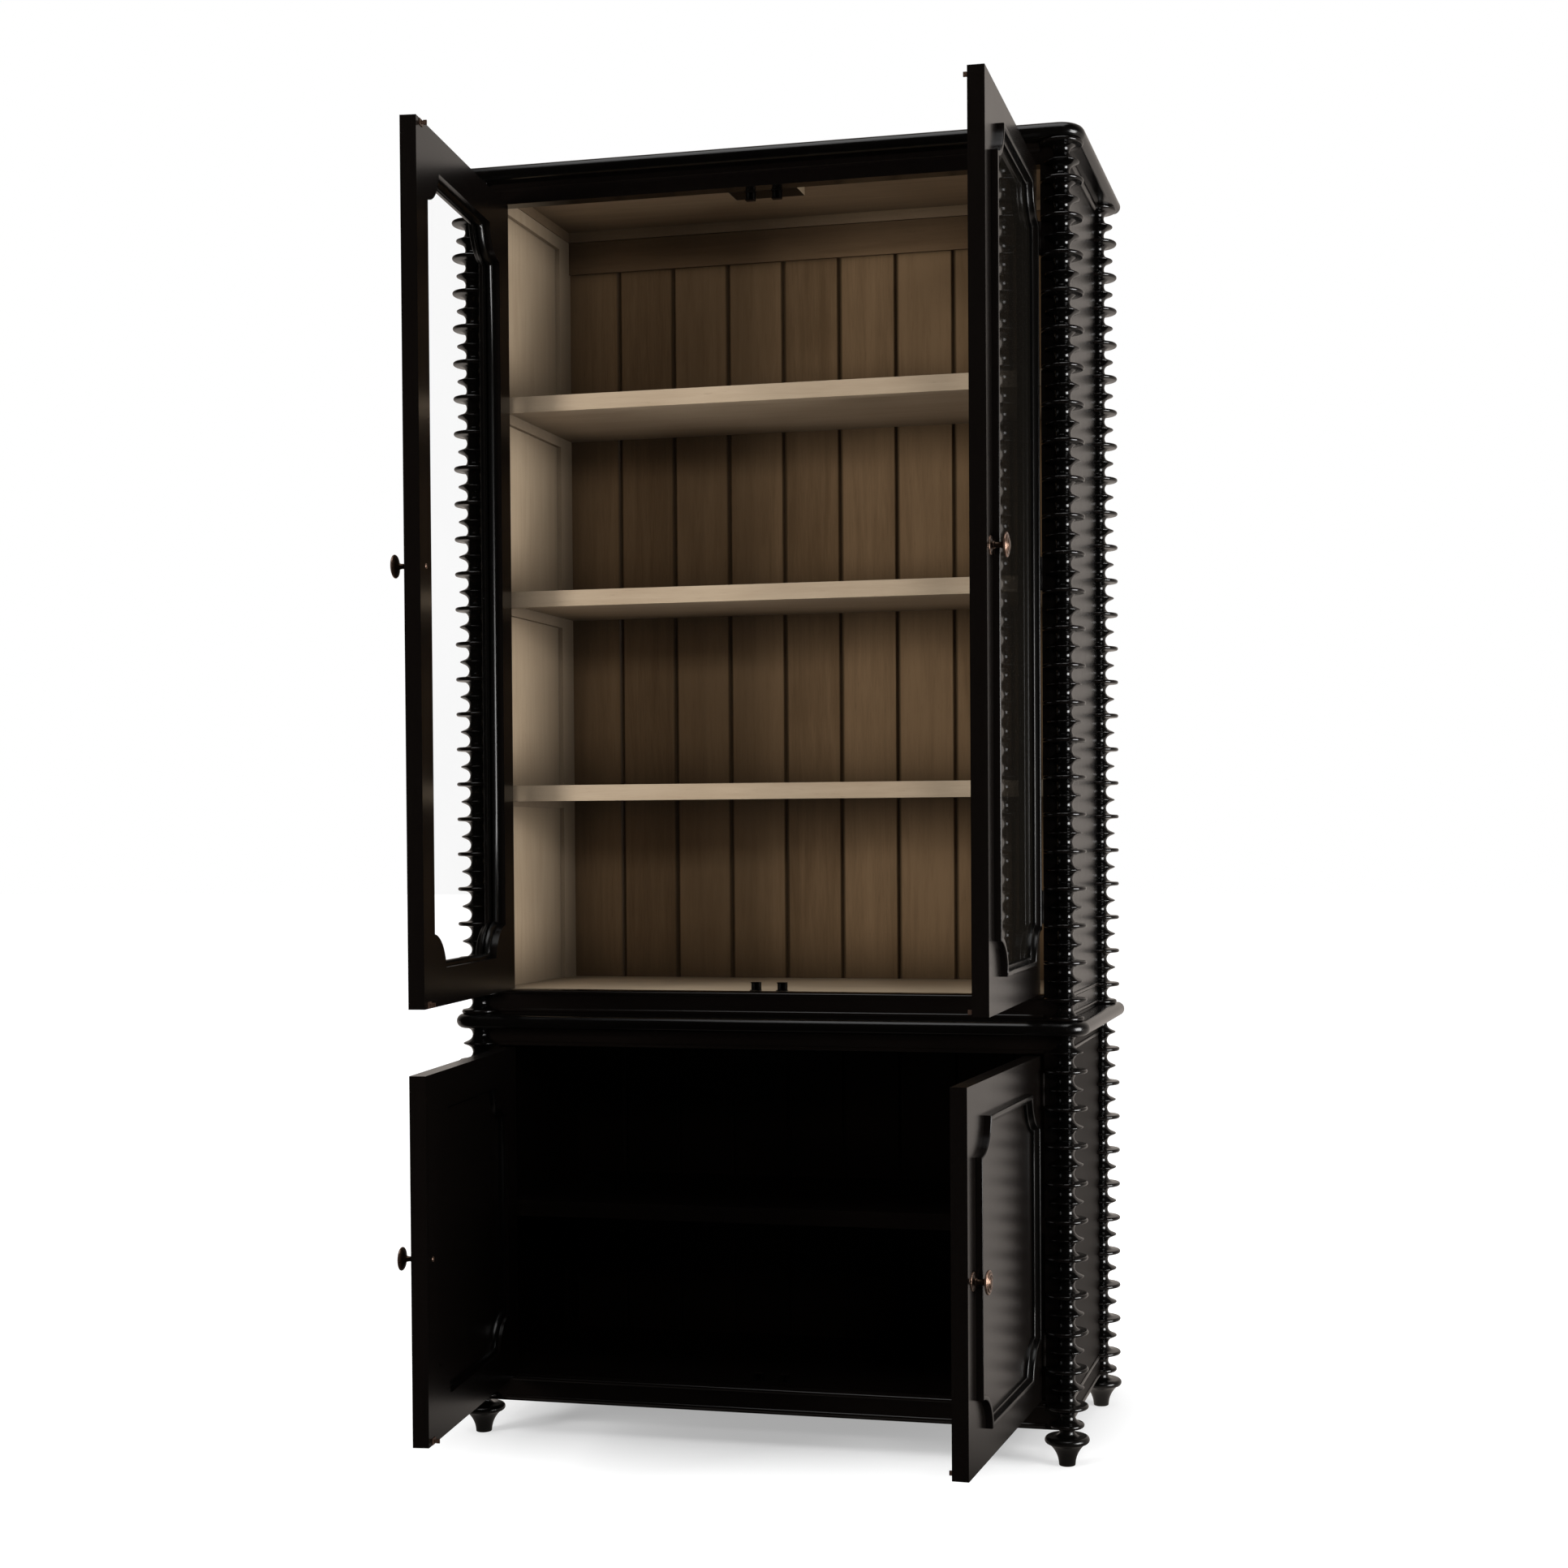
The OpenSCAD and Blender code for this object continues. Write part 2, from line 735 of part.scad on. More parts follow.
module upper_post_rear_left() {
  color(black) placed() mirror([0, 1, 0]) mirror([1, 0, 0]) upper_post();
}

module lower_post_front_right() {
  color(black) placed() lower_post();
}

module lower_post_front_left() {
  color(black) placed() mirror([1, 0, 0]) lower_post();
}

module lower_post_rear_right() {
  color(black) placed() mirror([0, 1, 0]) lower_post();
}

module lower_post_rear_left() {
  color(black) placed() mirror([0, 1, 0]) mirror([1, 0, 0]) lower_post();
}

// A foot: a wide round-edged ring over a hollow taper
module foot() {
  ring_lip = foot_ring_h / 2;
  taper_h = foot_ring_z - ring_lip;
  hollow_r = (pow(foot_flare_r - foot_bottom_r, 2) + pow(taper_h, 2)) / (2 * (foot_flare_r - foot_bottom_r));
  rotate_extrude() {
    translate([0, foot_ring_z - ring_lip]) square([foot_ring_r - ring_lip, foot_ring_h]);
    intersection() {
      translate([foot_ring_r - ring_lip, foot_ring_z]) circle(r = ring_lip);
      translate([foot_ring_r - ring_lip, foot_ring_z - ring_lip]) square([ring_lip, foot_ring_h]);
    }
    translate([0, foot_ring_z + ring_lip]) square([neck_r, foot_collar_h]);
    difference() {
      square([foot_flare_r, taper_h]);
      translate([foot_bottom_r + hollow_r, 0]) circle(r = hollow_r);
    }
  }
}

module feet() {
  color(black) placed() for (x = [-post_span_x / 2, post_span_x / 2])
    for (y = [-post_span_y / 2, post_span_y / 2]) translate([x, y, 0]) foot();
}

// Doors, drawn shut with the hinge pin's axis at x = 0, y = 0 and the door towards +X

module notched_area(h, grow) {
  low_x = moulding_in_x + grow;
  low_z = moulding_in_z + grow;
  difference() {
    translate([low_x, low_z]) square([door_w - 2 * low_x, h - 2 * low_z]);
    for (x = [moulding_in_x, door_w - moulding_in_x])
      for (z = [moulding_in_z, h - moulding_in_z]) translate([x, z]) circle(r = notch_r + grow);
  }
}

// Lays a door outline, drawn as width and height, at a depth behind the door's face
module door_layer(depth, thick) {
  translate([door_near, door_face_y + depth + thick, 0]) rotate([90, 0, 0]) linear_extrude(thick) children();
}

module door_frame(h) {
  door_layer(0, door_t) square([door_stile_w, h]);
  door_layer(0, door_t) difference() {
    translate([door_w - door_stile_w, 0]) square([door_stile_w, h]);
    translate([door_w - knob_inset, h / 2]) circle(r = knob_screw_r);
  }
  door_layer(0, door_t) difference() {
    translate([door_stile_w, 0]) square([door_w - 2 * door_stile_w, h / 2]);
    union() {
      notched_area(h, moulding_lap);
      translate([door_stile_w, h / 2 - overrun]) square([door_w - 2 * door_stile_w, 2 * overrun]);
    }
  }
  door_layer(0, door_t) difference() {
    translate([door_stile_w, h / 2]) square([door_w - 2 * door_stile_w, h / 2]);
    union() {
      notched_area(h, moulding_lap);
      translate([door_stile_w, h / 2 - overrun]) square([door_w - 2 * door_stile_w, 2 * overrun]);
    }
  }
}

module moulding_ring(h, outer, inner) {
  difference() {
    notched_area(h, outer);
    notched_area(h, inner);
  }
}

// The moulding laps over the frame's face and turns in to the glass or panel, and a stop holds that
// from behind
module door_moulding(h, infill_t) {
  step_in = (moulding_w - moulding_bead_w) / 2;
  base_proud = moulding_proud * moulding_base_share;
  door_layer(-base_proud, base_proud) moulding_ring(h, 0, moulding_w);
  door_layer(-moulding_proud, moulding_proud - base_proud)
    moulding_ring(h, step_in, moulding_w - step_in);
  door_layer(0, infill_depth) moulding_ring(h, moulding_lap, moulding_w);
  door_layer(infill_depth + infill_t, stop_s) moulding_ring(h, moulding_lap, moulding_lap + stop_s);
}
moulding_base_share = 0.55;

module infill(h, infill_t) {
  door_layer(infill_depth, infill_t) notched_area(h, moulding_lap + infill_gap);
}

module knob_at(h) {
  translate([door_near + door_w - knob_inset, door_face_y, h / 2]) rotate([90, 0, 0]) children();
}

// Knob with its backplate and its screw through the door's stile
module knob(h) {
  stem_h = knob_proud - rosette_t - knob_head_h;
  dome = (pow(knob_r, 2) + pow(knob_head_h / 2, 2)) / knob_head_h;
  knob_at(h) {
    rotate_extrude() {
      difference() {
        square([rosette_r, rosette_t]);
        translate([rosette_r, rosette_t]) circle(r = rosette_t / 2);
      }
    }
    translate([0, 0, rosette_t]) rotate_extrude() {
      difference() {
        square([rosette_r / 2, stem_h]);
        translate([knob_stem_r + stem_h / 2, stem_h / 2]) circle(r = stem_h / 2);
      }
      intersection() {
        translate([0, stem_h + knob_head_h - dome]) circle(r = dome);
        translate([0, stem_h]) square([knob_r, knob_head_h]);
      }
    }
    translate([0, 0, -door_t]) cylinder(r = knob_screw_r, h = door_t + rosette_t);
    translate([0, 0, -door_t - knob_screw_head_t]) cylinder(r = knob_screw_head_r, h = knob_screw_head_t);
  }
}

// Hinges

// Each hinge stands beside a small disc of its post, so that its knuckles clear the large discs.
// The levels are measured from a door's lower edge
upper_hinge_levels = [for (i = [0 : upper_hinges - 1])
  cornice_bottom_z - lip_r - (upper_hinge_first + i * upper_hinge_step - 1 / 2) * upper_pair_pitch
  - upper_open_z - door_gap
];
lower_hinge_levels = [for (i = [0, 1])
  waist_bottom_z + lower_top_hidden - (lower_hinge_first + i * lower_hinge_step - 1 / 2) * lower_pair_pitch
  - lower_open_z - door_gap
];

knuckle_count = 5;
knuckle_l = (hinge_l - (knuckle_count - 1) * knuckle_gap) / knuckle_count;

module knuckles(first, bore) {
  for (i = [first : 2 : knuckle_count - 1]) translate([0, 0, i * (knuckle_l + knuckle_gap)]) difference() {
    union() {
      cylinder(r = knuckle_r, h = knuckle_l);
      block(
        [leaf_gap / 2, 0, 0],
        [leaf_gap / 2 + leaf_t, pin_out + leaf_t, knuckle_l]
      );
    }
    translate([0, 0, -overrun]) cylinder(r = bore, h = knuckle_l + 2 * overrun);
  }
}

module leaf_plate() {
  block([leaf_gap / 2, pin_out, 0], [leaf_gap / 2 + leaf_t, pin_out + leaf_w, hinge_l]);
}

// The door's half of each hinge turns on the pin
module door_hinge_leaves(levels) {
  for (level = levels) translate([0, 0, level - hinge_l / 2]) {
    knuckles(1, pin_r + pin_gap);
    leaf_plate();
  }
}

// The case's half of each hinge, with the pin held in its knuckles
module case_hinge_leaves(levels) {
  for (level = levels) translate([0, 0, level - hinge_l / 2]) {
    mirror([1, 0, 0]) {
      knuckles(0, pin_r);
      leaf_plate();
    }
    cylinder(r = pin_r, h = hinge_l);
    for (end = [-pin_head_t, hinge_l]) translate([0, 0, end]) cylinder(r = pin_head_r, h = pin_head_t);
  }
}

module at_pins(bottom_z) {
  translate([-pin_x, pin_y, bottom_z + door_gap]) children();
}

module case_hinges() {
  color(bronze) placed() both_sides() {
    at_pins(upper_open_z) case_hinge_leaves(upper_hinge_levels);
    at_pins(lower_open_z) case_hinge_leaves(lower_hinge_levels);
  }
}

// Catches and strikes

catch_setback = 1.5;
catch_front_y = frame_rear_y + catch_setback;

// A bent plate with two upright rollers, drawn standing on a floor at z = 0
module catch_unit() {
  mid_y = catch_front_y + catch_d / 2;
  roller_x = roller_gap / 2 + roller_r;
  roller_h = catch_h - 2 * catch_plate_t;
  block([-catch_l / 2, catch_front_y, 0], [catch_l / 2, catch_front_y + catch_d, catch_plate_t]);
  block(
    [-roller_x - roller_r, catch_front_y, catch_h - catch_plate_t],
    [roller_x + roller_r, catch_front_y + catch_d, catch_h]
  );
  block(
    [-roller_x - roller_r, catch_front_y + catch_d, 0],
    [roller_x + roller_r, catch_front_y + catch_d + catch_plate_t, catch_h]
  );
  for (side = [-1, 1])
    translate([side * roller_x, mid_y, catch_plate_t]) cylinder(r = roller_r, h = roller_h);
}

module catches() {
  color(bronze) placed() for (x = [-catch_x, catch_x]) {
    translate([x, 0, upper_open_z]) catch_unit();
    translate([x, 0, lower_open_z]) catch_unit();
    translate([x, 0, upper_open_top_z]) mirror([0, 0, 1]) catch_unit();
  }
}

// The block hangs from the ceiling, just behind the doors' inner faces
block_setback = 1;
module catch_block() {
  block_front_y = frame_rear_y + block_setback;
  color(black) placed() block(
    [-block_l / 2, block_front_y, upper_open_top_z],
    [block_l / 2, block_front_y + block_d, ceiling_z]
  );
}

// A plate on the door's inner face with a headed tongue that enters between a catch's rollers
strike_plate_t = 1.2;
strike_z = catch_h / 2 - door_gap;

module lower_strike() {
  mid_x = open_half - hinge_side_gap / 2 - catch_x;
  head_y = tongue_l - tongue_head_l;
  translate([mid_x, door_inner_y, 0]) {
    block(
      [-strike_plate_w / 2, 0, strike_edge],
      [strike_plate_w / 2, strike_plate_t, strike_edge + strike_plate_h]
    );
    block(
      [-tongue_t / 2, strike_plate_t, strike_z - tongue_h / 2],
      [tongue_t / 2, head_y, strike_z + tongue_h / 2]
    );
    block(
      [-tongue_t / 2, head_y, strike_z - tongue_head_h / 2],
      [tongue_t / 2, tongue_l, strike_z + tongue_head_h / 2]
    );
  }
}

module upper_strikes() {
  lower_strike();
  translate([0, 0, upper_door_h]) mirror([0, 0, 1]) lower_strike();
}

// A door stands on its pin, turned open by an angle
module left_door(bottom_z, angle) {
  placed() at_pins(bottom_z) rotate([0, 0, -angle]) children();
}

module right_door(bottom_z, angle) {
  placed() mirror([1, 0, 0]) at_pins(bottom_z) rotate([0, 0, -angle]) children();
}

module upper_left_door_frame() {
  color(black) left_door(upper_open_z, upper_left_open) door_frame(upper_door_h);
}

module upper_left_door_moulding() {
  color(black) left_door(upper_open_z, upper_left_open) door_moulding(upper_door_h, glass_t);
}

module upper_left_glass() {
  color([0.8, 0.9, 0.95, 0.4]) left_door(upper_open_z, upper_left_open) infill(upper_door_h, glass_t);
}

module upper_left_knob() {
  color(bronze) left_door(upper_open_z, upper_left_open) knob(upper_door_h);
}

module upper_left_hinge_leaves() {
  color(bronze) left_door(upper_open_z, upper_left_open)
    door_hinge_leaves(upper_hinge_levels);
}

module upper_left_strikes() {
  color(bronze) left_door(upper_open_z, upper_left_open) upper_strikes();
}

module upper_right_door_frame() {
  color(black) right_door(upper_open_z, upper_right_open) door_frame(upper_door_h);
}

module upper_right_door_moulding() {
  color(black) right_door(upper_open_z, upper_right_open) door_moulding(upper_door_h, glass_t);
}

module upper_right_glass() {
  color([0.8, 0.9, 0.95, 0.4]) right_door(upper_open_z, upper_right_open) infill(upper_door_h, glass_t);
}

module upper_right_knob() {
  color(bronze) right_door(upper_open_z, upper_right_open) knob(upper_door_h);
}

module upper_right_hinge_leaves() {
  color(bronze) right_door(upper_open_z, upper_right_open)
    door_hinge_leaves(upper_hinge_levels);
}

module upper_right_strikes() {
  color(bronze) right_door(upper_open_z, upper_right_open) upper_strikes();
}

module lower_left_door_frame() {
  color(black) left_door(lower_open_z, lower_left_open) door_frame(lower_door_h);
}

module lower_left_door_moulding() {
  color(black) left_door(lower_open_z, lower_left_open) door_moulding(lower_door_h, panel_t);
}

module lower_left_panel() {
  color(black) left_door(lower_open_z, lower_left_open) infill(lower_door_h, panel_t);
}

module lower_left_knob() {
  color(bronze) left_door(lower_open_z, lower_left_open) knob(lower_door_h);
}

module lower_left_hinge_leaves() {
  color(bronze) left_door(lower_open_z, lower_left_open)
    door_hinge_leaves(lower_hinge_levels);
}

module lower_left_strike() {
  color(bronze) left_door(lower_open_z, lower_left_open) lower_strike();
}

module lower_right_door_frame() {
  color(black) right_door(lower_open_z, lower_right_open) door_frame(lower_door_h);
}

module lower_right_door_moulding() {
  color(black) right_door(lower_open_z, lower_right_open) door_moulding(lower_door_h, panel_t);
}

module lower_right_panel() {
  color(black) right_door(lower_open_z, lower_right_open) infill(lower_door_h, panel_t);
}

module lower_right_knob() {
  color(bronze) right_door(lower_open_z, lower_right_open) knob(lower_door_h);
}

module lower_right_hinge_leaves() {
  color(bronze) right_door(lower_open_z, lower_right_open)
    door_hinge_leaves(lower_hinge_levels);
}

module lower_right_strike() {
  color(bronze) right_door(lower_open_z, lower_right_open) lower_strike();
}

cornice_board();
cornice_moulding();
upper_top_rail();
upper_bottom_rail();
front_stiles();
upper_side_left();
upper_side_right();
upper_back_boards();
upper_back_rail();
upper_ceiling();
upper_floor();
shelf_top();
shelf_middle();
shelf_bottom();
shelf_cleats();
catch_block();
upper_post_front_left();
upper_post_front_right();
upper_post_rear_left();
upper_post_rear_right();
waist_board();
lower_post_front_left();
lower_post_front_right();
lower_post_rear_left();
lower_post_rear_right();
feet();
lower_top_rail();
lower_bottom_rail();
rail_beads();
lower_side_left();
lower_side_right();
lower_back_boards();
lower_floor();
lower_shelf();
catches();
case_hinges();
upper_left_door_frame();
upper_left_door_moulding();
upper_left_glass();
upper_left_knob();
upper_left_hinge_leaves();
upper_left_strikes();
upper_right_door_frame();
upper_right_door_moulding();
upper_right_glass();
upper_right_knob();
upper_right_hinge_leaves();
upper_right_strikes();
lower_left_door_frame();
lower_left_door_moulding();
lower_left_panel();
lower_left_knob();
lower_left_hinge_leaves();
lower_left_strike();
lower_right_door_frame();
lower_right_door_moulding();
lower_right_panel();
lower_right_knob();
lower_right_hinge_leaves();
lower_right_strike();
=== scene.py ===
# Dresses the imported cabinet: smooth turned posts and feet, rounded door mouldings, turned knobs,
# procedural materials, light and camera. Lengths are in millimetres until a mesh is made.
import bpy
import json
import math
from mathutils import Matrix, Vector


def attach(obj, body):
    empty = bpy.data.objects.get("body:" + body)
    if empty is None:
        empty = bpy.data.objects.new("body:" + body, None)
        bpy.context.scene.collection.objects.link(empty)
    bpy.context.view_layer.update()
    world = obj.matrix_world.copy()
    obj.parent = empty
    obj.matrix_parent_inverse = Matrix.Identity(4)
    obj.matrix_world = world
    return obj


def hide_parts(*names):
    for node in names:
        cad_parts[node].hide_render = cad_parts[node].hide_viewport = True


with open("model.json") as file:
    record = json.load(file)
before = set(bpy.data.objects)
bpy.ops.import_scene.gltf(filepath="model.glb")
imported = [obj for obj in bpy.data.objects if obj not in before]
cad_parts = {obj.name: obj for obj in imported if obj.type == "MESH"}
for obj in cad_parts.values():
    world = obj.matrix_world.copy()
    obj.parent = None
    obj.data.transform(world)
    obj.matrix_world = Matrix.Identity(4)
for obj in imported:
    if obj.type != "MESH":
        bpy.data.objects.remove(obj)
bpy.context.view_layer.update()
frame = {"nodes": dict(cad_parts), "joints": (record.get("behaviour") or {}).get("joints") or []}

MM = 0.001
nodes = frame["nodes"]
hinges = {j["child"]: j for j in frame["joints"]}

# Hinge pins, from the cabinet's middle and from the line midway between the front and rear posts
PIN_X, PIN_Y = 525.5, -218.0
# The drawing here has y = 0 midway between the post axes. The frame's y is shifted by this
SHIFT = hinges["upper_left_door"]["pos_m"][1] / MM - PIN_Y

# Post axes, and the heights of the cornice's underside, the waist board's faces and the posts' feet
SPAN_X, SPAN_Y = 566.0, 214.0
CORNICE_Z, WAIST_TOP, WAIST_LOW, LIFT = 2373.0, 803.0, 776.0, 62.0


# Mesh helpers

def make_object(name, verts, faces, body, material, slot, smooth_deg, replaced):
    mesh = bpy.data.meshes.new(name)
    mesh.from_pydata([(x * MM, (y + SHIFT) * MM, z * MM) for x, y, z in verts], [], faces)
    mesh.validate()
    mesh.polygons.foreach_set("use_smooth", [True] * len(mesh.polygons))
    mesh.set_sharp_from_angle(angle=math.radians(smooth_deg))
    mesh.update()
    ob = bpy.data.objects.new(name, mesh)
    bpy.context.scene.collection.objects.link(ob)
    ob.data.materials.append(material)
    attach(ob, body)
    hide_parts(*replaced)


def lathe(profile, steps):
    """Turns (radius, height) points round Z."""
    verts, faces, rings = [], [], []
    for r, z in profile:
        if r < 1e-6:
            rings.append([len(verts)])
            verts.append((0.0, 0.0, z))
        else:
            rings.append(list(range(len(verts), len(verts) + steps)))
            for k in range(steps):
                a = 2 * math.pi * k / steps
                verts.append((r * math.cos(a), r * math.sin(a), z))
    for low, high in zip(rings, rings[1:]):
        for k in range(steps):
            k2 = (k + 1) % steps
            if len(low) == 1 and len(high) > 1:
                faces.append((low[0], high[k2], high[k]))
            elif len(high) == 1 and len(low) > 1:
                faces.append((low[k], low[k2], high[0]))
            elif len(low) > 1:
                faces.append((low[k], low[k2], high[k2], high[k]))
    return verts, faces


def lathe_corner(profile, steps):
    """Turns (radius, height) points round Z and leaves out the quarter x < 0, y > 0."""
    verts, faces, rings = [], [], []
    for r, z in profile:
        rings.append(list(range(len(verts), len(verts) + steps + 2)))
        for k in range(steps + 1):
            a = math.pi + 1.5 * math.pi * k / steps
            verts.append((r * math.cos(a), r * math.sin(a), z))
        verts.append((0.0, 0.0, z))
    for low, high in zip(rings, rings[1:]):
        n = len(low)
        for k in range(n):
            k2 = (k + 1) % n
            faces.append((low[k], low[k2], high[k2], high[k]))
    faces.append(tuple(reversed(rings[0])))
    faces.append(tuple(rings[-1]))
    return verts, faces


def joined(parts):
    verts, faces = [], []
    for v, f in parts:
        n = len(verts)
        verts += v
        faces += [tuple(i + n for i in face) for face in f]
    return verts, faces


def mirrored(verts, faces, sx, sy):
    verts = [(sx * x, sy * y, z) for x, y, z in verts]
    if sx * sy < 0:
        faces = [tuple(reversed(f)) for f in faces]
    return verts, faces


def moved(verts, dx, dy, dz):
    return [(x + dx, y + dy, z + dz) for x, y, z in verts]


# Materials

def new_material(name):
    mat = bpy.data.materials.new(name)
    mat.use_nodes = True
    tree = mat.node_tree
    return mat, tree, tree.nodes["Principled BSDF"]


def add(tree, kind, **values):
    node = tree.nodes.new(kind)
    for key, value in values.items():
        if hasattr(node, key):
            setattr(node, key, value)
        else:
            node.inputs[key].default_value = value
    return node


def math_node(tree, operation, first, second=None, third=None):
    """A Math node whose inputs are sockets or plain numbers."""
    node = add(tree, "ShaderNodeMath", operation=operation)
    for socket, value in zip(node.inputs, (first, second, third)):
        if value is None:
            continue
        if isinstance(value, (int, float)):
            socket.default_value = value
        else:
            tree.links.new(value, socket)
    return node.outputs[0]


def spread(tree, value, low, high, start=0.0, stop=1.0):
    """Maps a socket's start to stop onto low to high, and holds it there outside."""
    node = add(tree, "ShaderNodeMapRange")
    node.inputs["From Min"].default_value = start
    node.inputs["From Max"].default_value = stop
    node.inputs["To Min"].default_value = low
    node.inputs["To Max"].default_value = high
    tree.links.new(value, node.inputs["Value"])
    return node.outputs["Result"]


def ramp(tree, value, stops):
    node = tree.nodes.new("ShaderNodeValToRGB")
    elements = node.color_ramp.elements
    elements[0].position, elements[0].color = stops[0][0], (*stops[0][1], 1)
    elements[1].position, elements[1].color = stops[-1][0], (*stops[-1][1], 1)
    for position, colour in stops[1:-1]:
        elements.new(position).color = (*colour, 1)
    tree.links.new(value, node.inputs["Fac"])
    return node.outputs["Color"]


def mix_colour(tree, factor, first, second):
    """Blends two colours, each a socket or a plain colour."""
    node = add(tree, "ShaderNodeMix", data_type="RGBA")
    tree.links.new(factor, node.inputs["Factor"])
    for socket, value in ((node.inputs["A"], first), (node.inputs["B"], second)):
        if isinstance(value, tuple):
            socket.default_value = (*value, 1)
        else:
            tree.links.new(value, socket)
    return node.outputs["Result"]


def noise(tree, vector, scale, detail=4.0, roughness=0.5, distortion=0.0):
    node = add(tree, "ShaderNodeTexNoise", Scale=scale, Detail=detail, Roughness=roughness)
    node.inputs["Distortion"].default_value = distortion
    tree.links.new(vector, node.inputs["Vector"])
    return node.outputs["Fac"]


def object_coords(tree, stretch):
    """The object's own coordinates, plain and stretched along the grain."""
    coords = add(tree, "ShaderNodeTexCoord").outputs["Object"]
    mapping = add(tree, "ShaderNodeMapping")
    mapping.inputs["Scale"].default_value = stretch
    tree.links.new(coords, mapping.inputs["Vector"])
    return coords, mapping.outputs["Vector"]


def axes(tree, coords):
    split = add(tree, "ShaderNodeSeparateXYZ")
    tree.links.new(coords, split.inputs["Vector"])
    return split.outputs


def beyond(tree, coords, limits):
    """One where a coordinate's size passes its limit, else zero."""
    split = axes(tree, coords)
    found = None
    for axis, limit in limits:
        size = math_node(tree, "ABSOLUTE", split[axis])
        past = math_node(tree, "GREATER_THAN", size, limit)
        found = past if found is None else math_node(tree, "MAXIMUM", found, past)
    return found


def bumped(tree, bsdf, height, strength, distance):
    bump = add(tree, "ShaderNodeBump", Strength=strength, Distance=distance)
    tree.links.new(height, bump.inputs["Height"])
    tree.links.new(bump.outputs["Normal"], bsdf.inputs["Normal"])


def lacquer(name, tone, tint, rough, gloss, grain, pores=0.06, wear=0.5, ends=None):
    """Satin black lacquer over wood: faint open grain, uneven sheen, edges rubbed a little brown.
    ends gives a distance from the middle beyond which the wood is left bare."""
    mat, tree, bsdf = new_material(name)
    coords, stretched = object_coords(tree, grain)
    fibre = noise(tree, stretched, 6.0, 6.0, 0.62)
    cloud = noise(tree, coords, 3.2, 4.0)
    colour = ramp(tree, fibre, [(0.3, tone), (0.62, tuple(1.3 * c for c in tone)), (0.9, tint)])
    geometry = add(tree, "ShaderNodeNewGeometry")
    edge = ramp(tree, geometry.outputs["Pointiness"], [(0.51, (0, 0, 0)), (0.62, (1, 1, 1))])
    rubbed = math_node(tree, "MULTIPLY", edge, wear)
    colour = mix_colour(tree, rubbed, colour, tint)
    if ends:
        colour = mix_colour(tree, beyond(tree, coords, [("X", ends)]), colour, (0.34, 0.26, 0.17))
    tree.links.new(colour, bsdf.inputs["Base Color"])
    tree.links.new(spread(tree, cloud, rough - 0.05, rough + 0.06), bsdf.inputs["Roughness"])
    bumped(tree, bsdf, fibre, pores, 0.0006)
    bsdf.inputs["Specular IOR Level"].default_value = gloss
    return mat


def bleached_wood(name, light, dark, grain, board=None, painted=(), shade_depths=None):
    """Limed wood: soft streaks along the grain, darker pores, cloudy stain, boards that differ and
    brown joints, with painted shade that darkens the corners where ambient occlusion is low.
    board gives the pitch of upright boards.
    painted gives the limits beyond which the wood is on the cabinet's black outside.
    deep gives the depths between which painted shade deepens towards the back."""
    mat, tree, bsdf = new_material(name)
    coords, stretched = object_coords(tree, grain)
    streak = noise(tree, stretched, 2.4, 8.0, 0.6, 0.5)
    fine = noise(tree, stretched, 15.0, 5.0, 0.7)
    cloud = noise(tree, coords, 3.5, 3.0)
    figure = math_node(tree, "MULTIPLY_ADD", fine, 0.3, math_node(tree, "MULTIPLY", streak, 0.6))
    value = math_node(tree, "MULTIPLY_ADD", cloud, 0.4, math_node(tree, "SUBTRACT", figure, 0.12))
    if board:
        place = math_node(tree, "ADD", axes(tree, coords)["X"], BACK_HALF)
        position = math_node(tree, "DIVIDE", place, board)
        index = math_node(tree, "FLOOR", position)
        chance = add(tree, "ShaderNodeTexWhiteNoise", noise_dimensions="1D")
        tree.links.new(index, chance.inputs["W"])
        vary = math_node(tree, "MULTIPLY_ADD", chance.outputs["Value"], 0.26, value)
        value = math_node(tree, "SUBTRACT", vary, 0.13)
    mid = tuple((a + b) / 2 for a, b in zip(light, dark))
    colour = ramp(tree, value, [(0.3, dark), (0.5, mid), (0.72, light)])
    pore = ramp(tree, fine, [(0.30, (1, 1, 1)), (0.36, (0, 0, 0))])
    pitted = math_node(tree, "MULTIPLY", pore, 0.35)
    colour = mix_colour(tree, pitted, colour, tuple(0.55 * c for c in dark))
    # Painted shade: the colour darkens in corners and hollows, following ambient occlusion
    corner = add(tree, "ShaderNodeAmbientOcclusion", samples=6)
    corner.inputs["Distance"].default_value = 0.12
    corner_shade = spread(tree, corner.outputs["AO"], 0.9, 0.0, 0.35, 0.95)
    colour = mix_colour(tree, corner_shade, colour, tuple(0.3 * c for c in dark))
    if board:
        # The middle of a joint lies at 0.987 of a board's pitch, and is moved to 0.5 here
        offset = math_node(tree, "FRACT", math_node(tree, "ADD", position, 0.513))
        joint = math_node(tree, "ABSOLUTE", math_node(tree, "SUBTRACT", offset, 0.5))
        seam = spread(tree, joint, 0.75, 0.0, 0.025, 0.06)
        colour = mix_colour(tree, seam, colour, tuple(0.3 * c for c in dark))
    # Painted shade: the colour darkens towards the back of the case
    if shade_depths:
        back_shade = spread(tree, axes(tree, coords)["Y"], 0.0, 0.65, *shade_depths)
        colour = mix_colour(tree, back_shade, colour, tuple(0.3 * c for c in dark))
    rough = spread(tree, fine, 0.5, 0.68)
    if painted:
        outside = beyond(tree, coords, painted)
        colour = mix_colour(tree, outside, colour, BLACK_TONE)
        rough = math_node(tree, "MULTIPLY_ADD", outside, -0.35, rough)
    tree.links.new(colour, bsdf.inputs["Base Color"])
    tree.links.new(rough, bsdf.inputs["Roughness"])
    bumped(tree, bsdf, figure, 0.16, 0.0008)
    bsdf.inputs["Specular IOR Level"].default_value = 0.25
    return mat


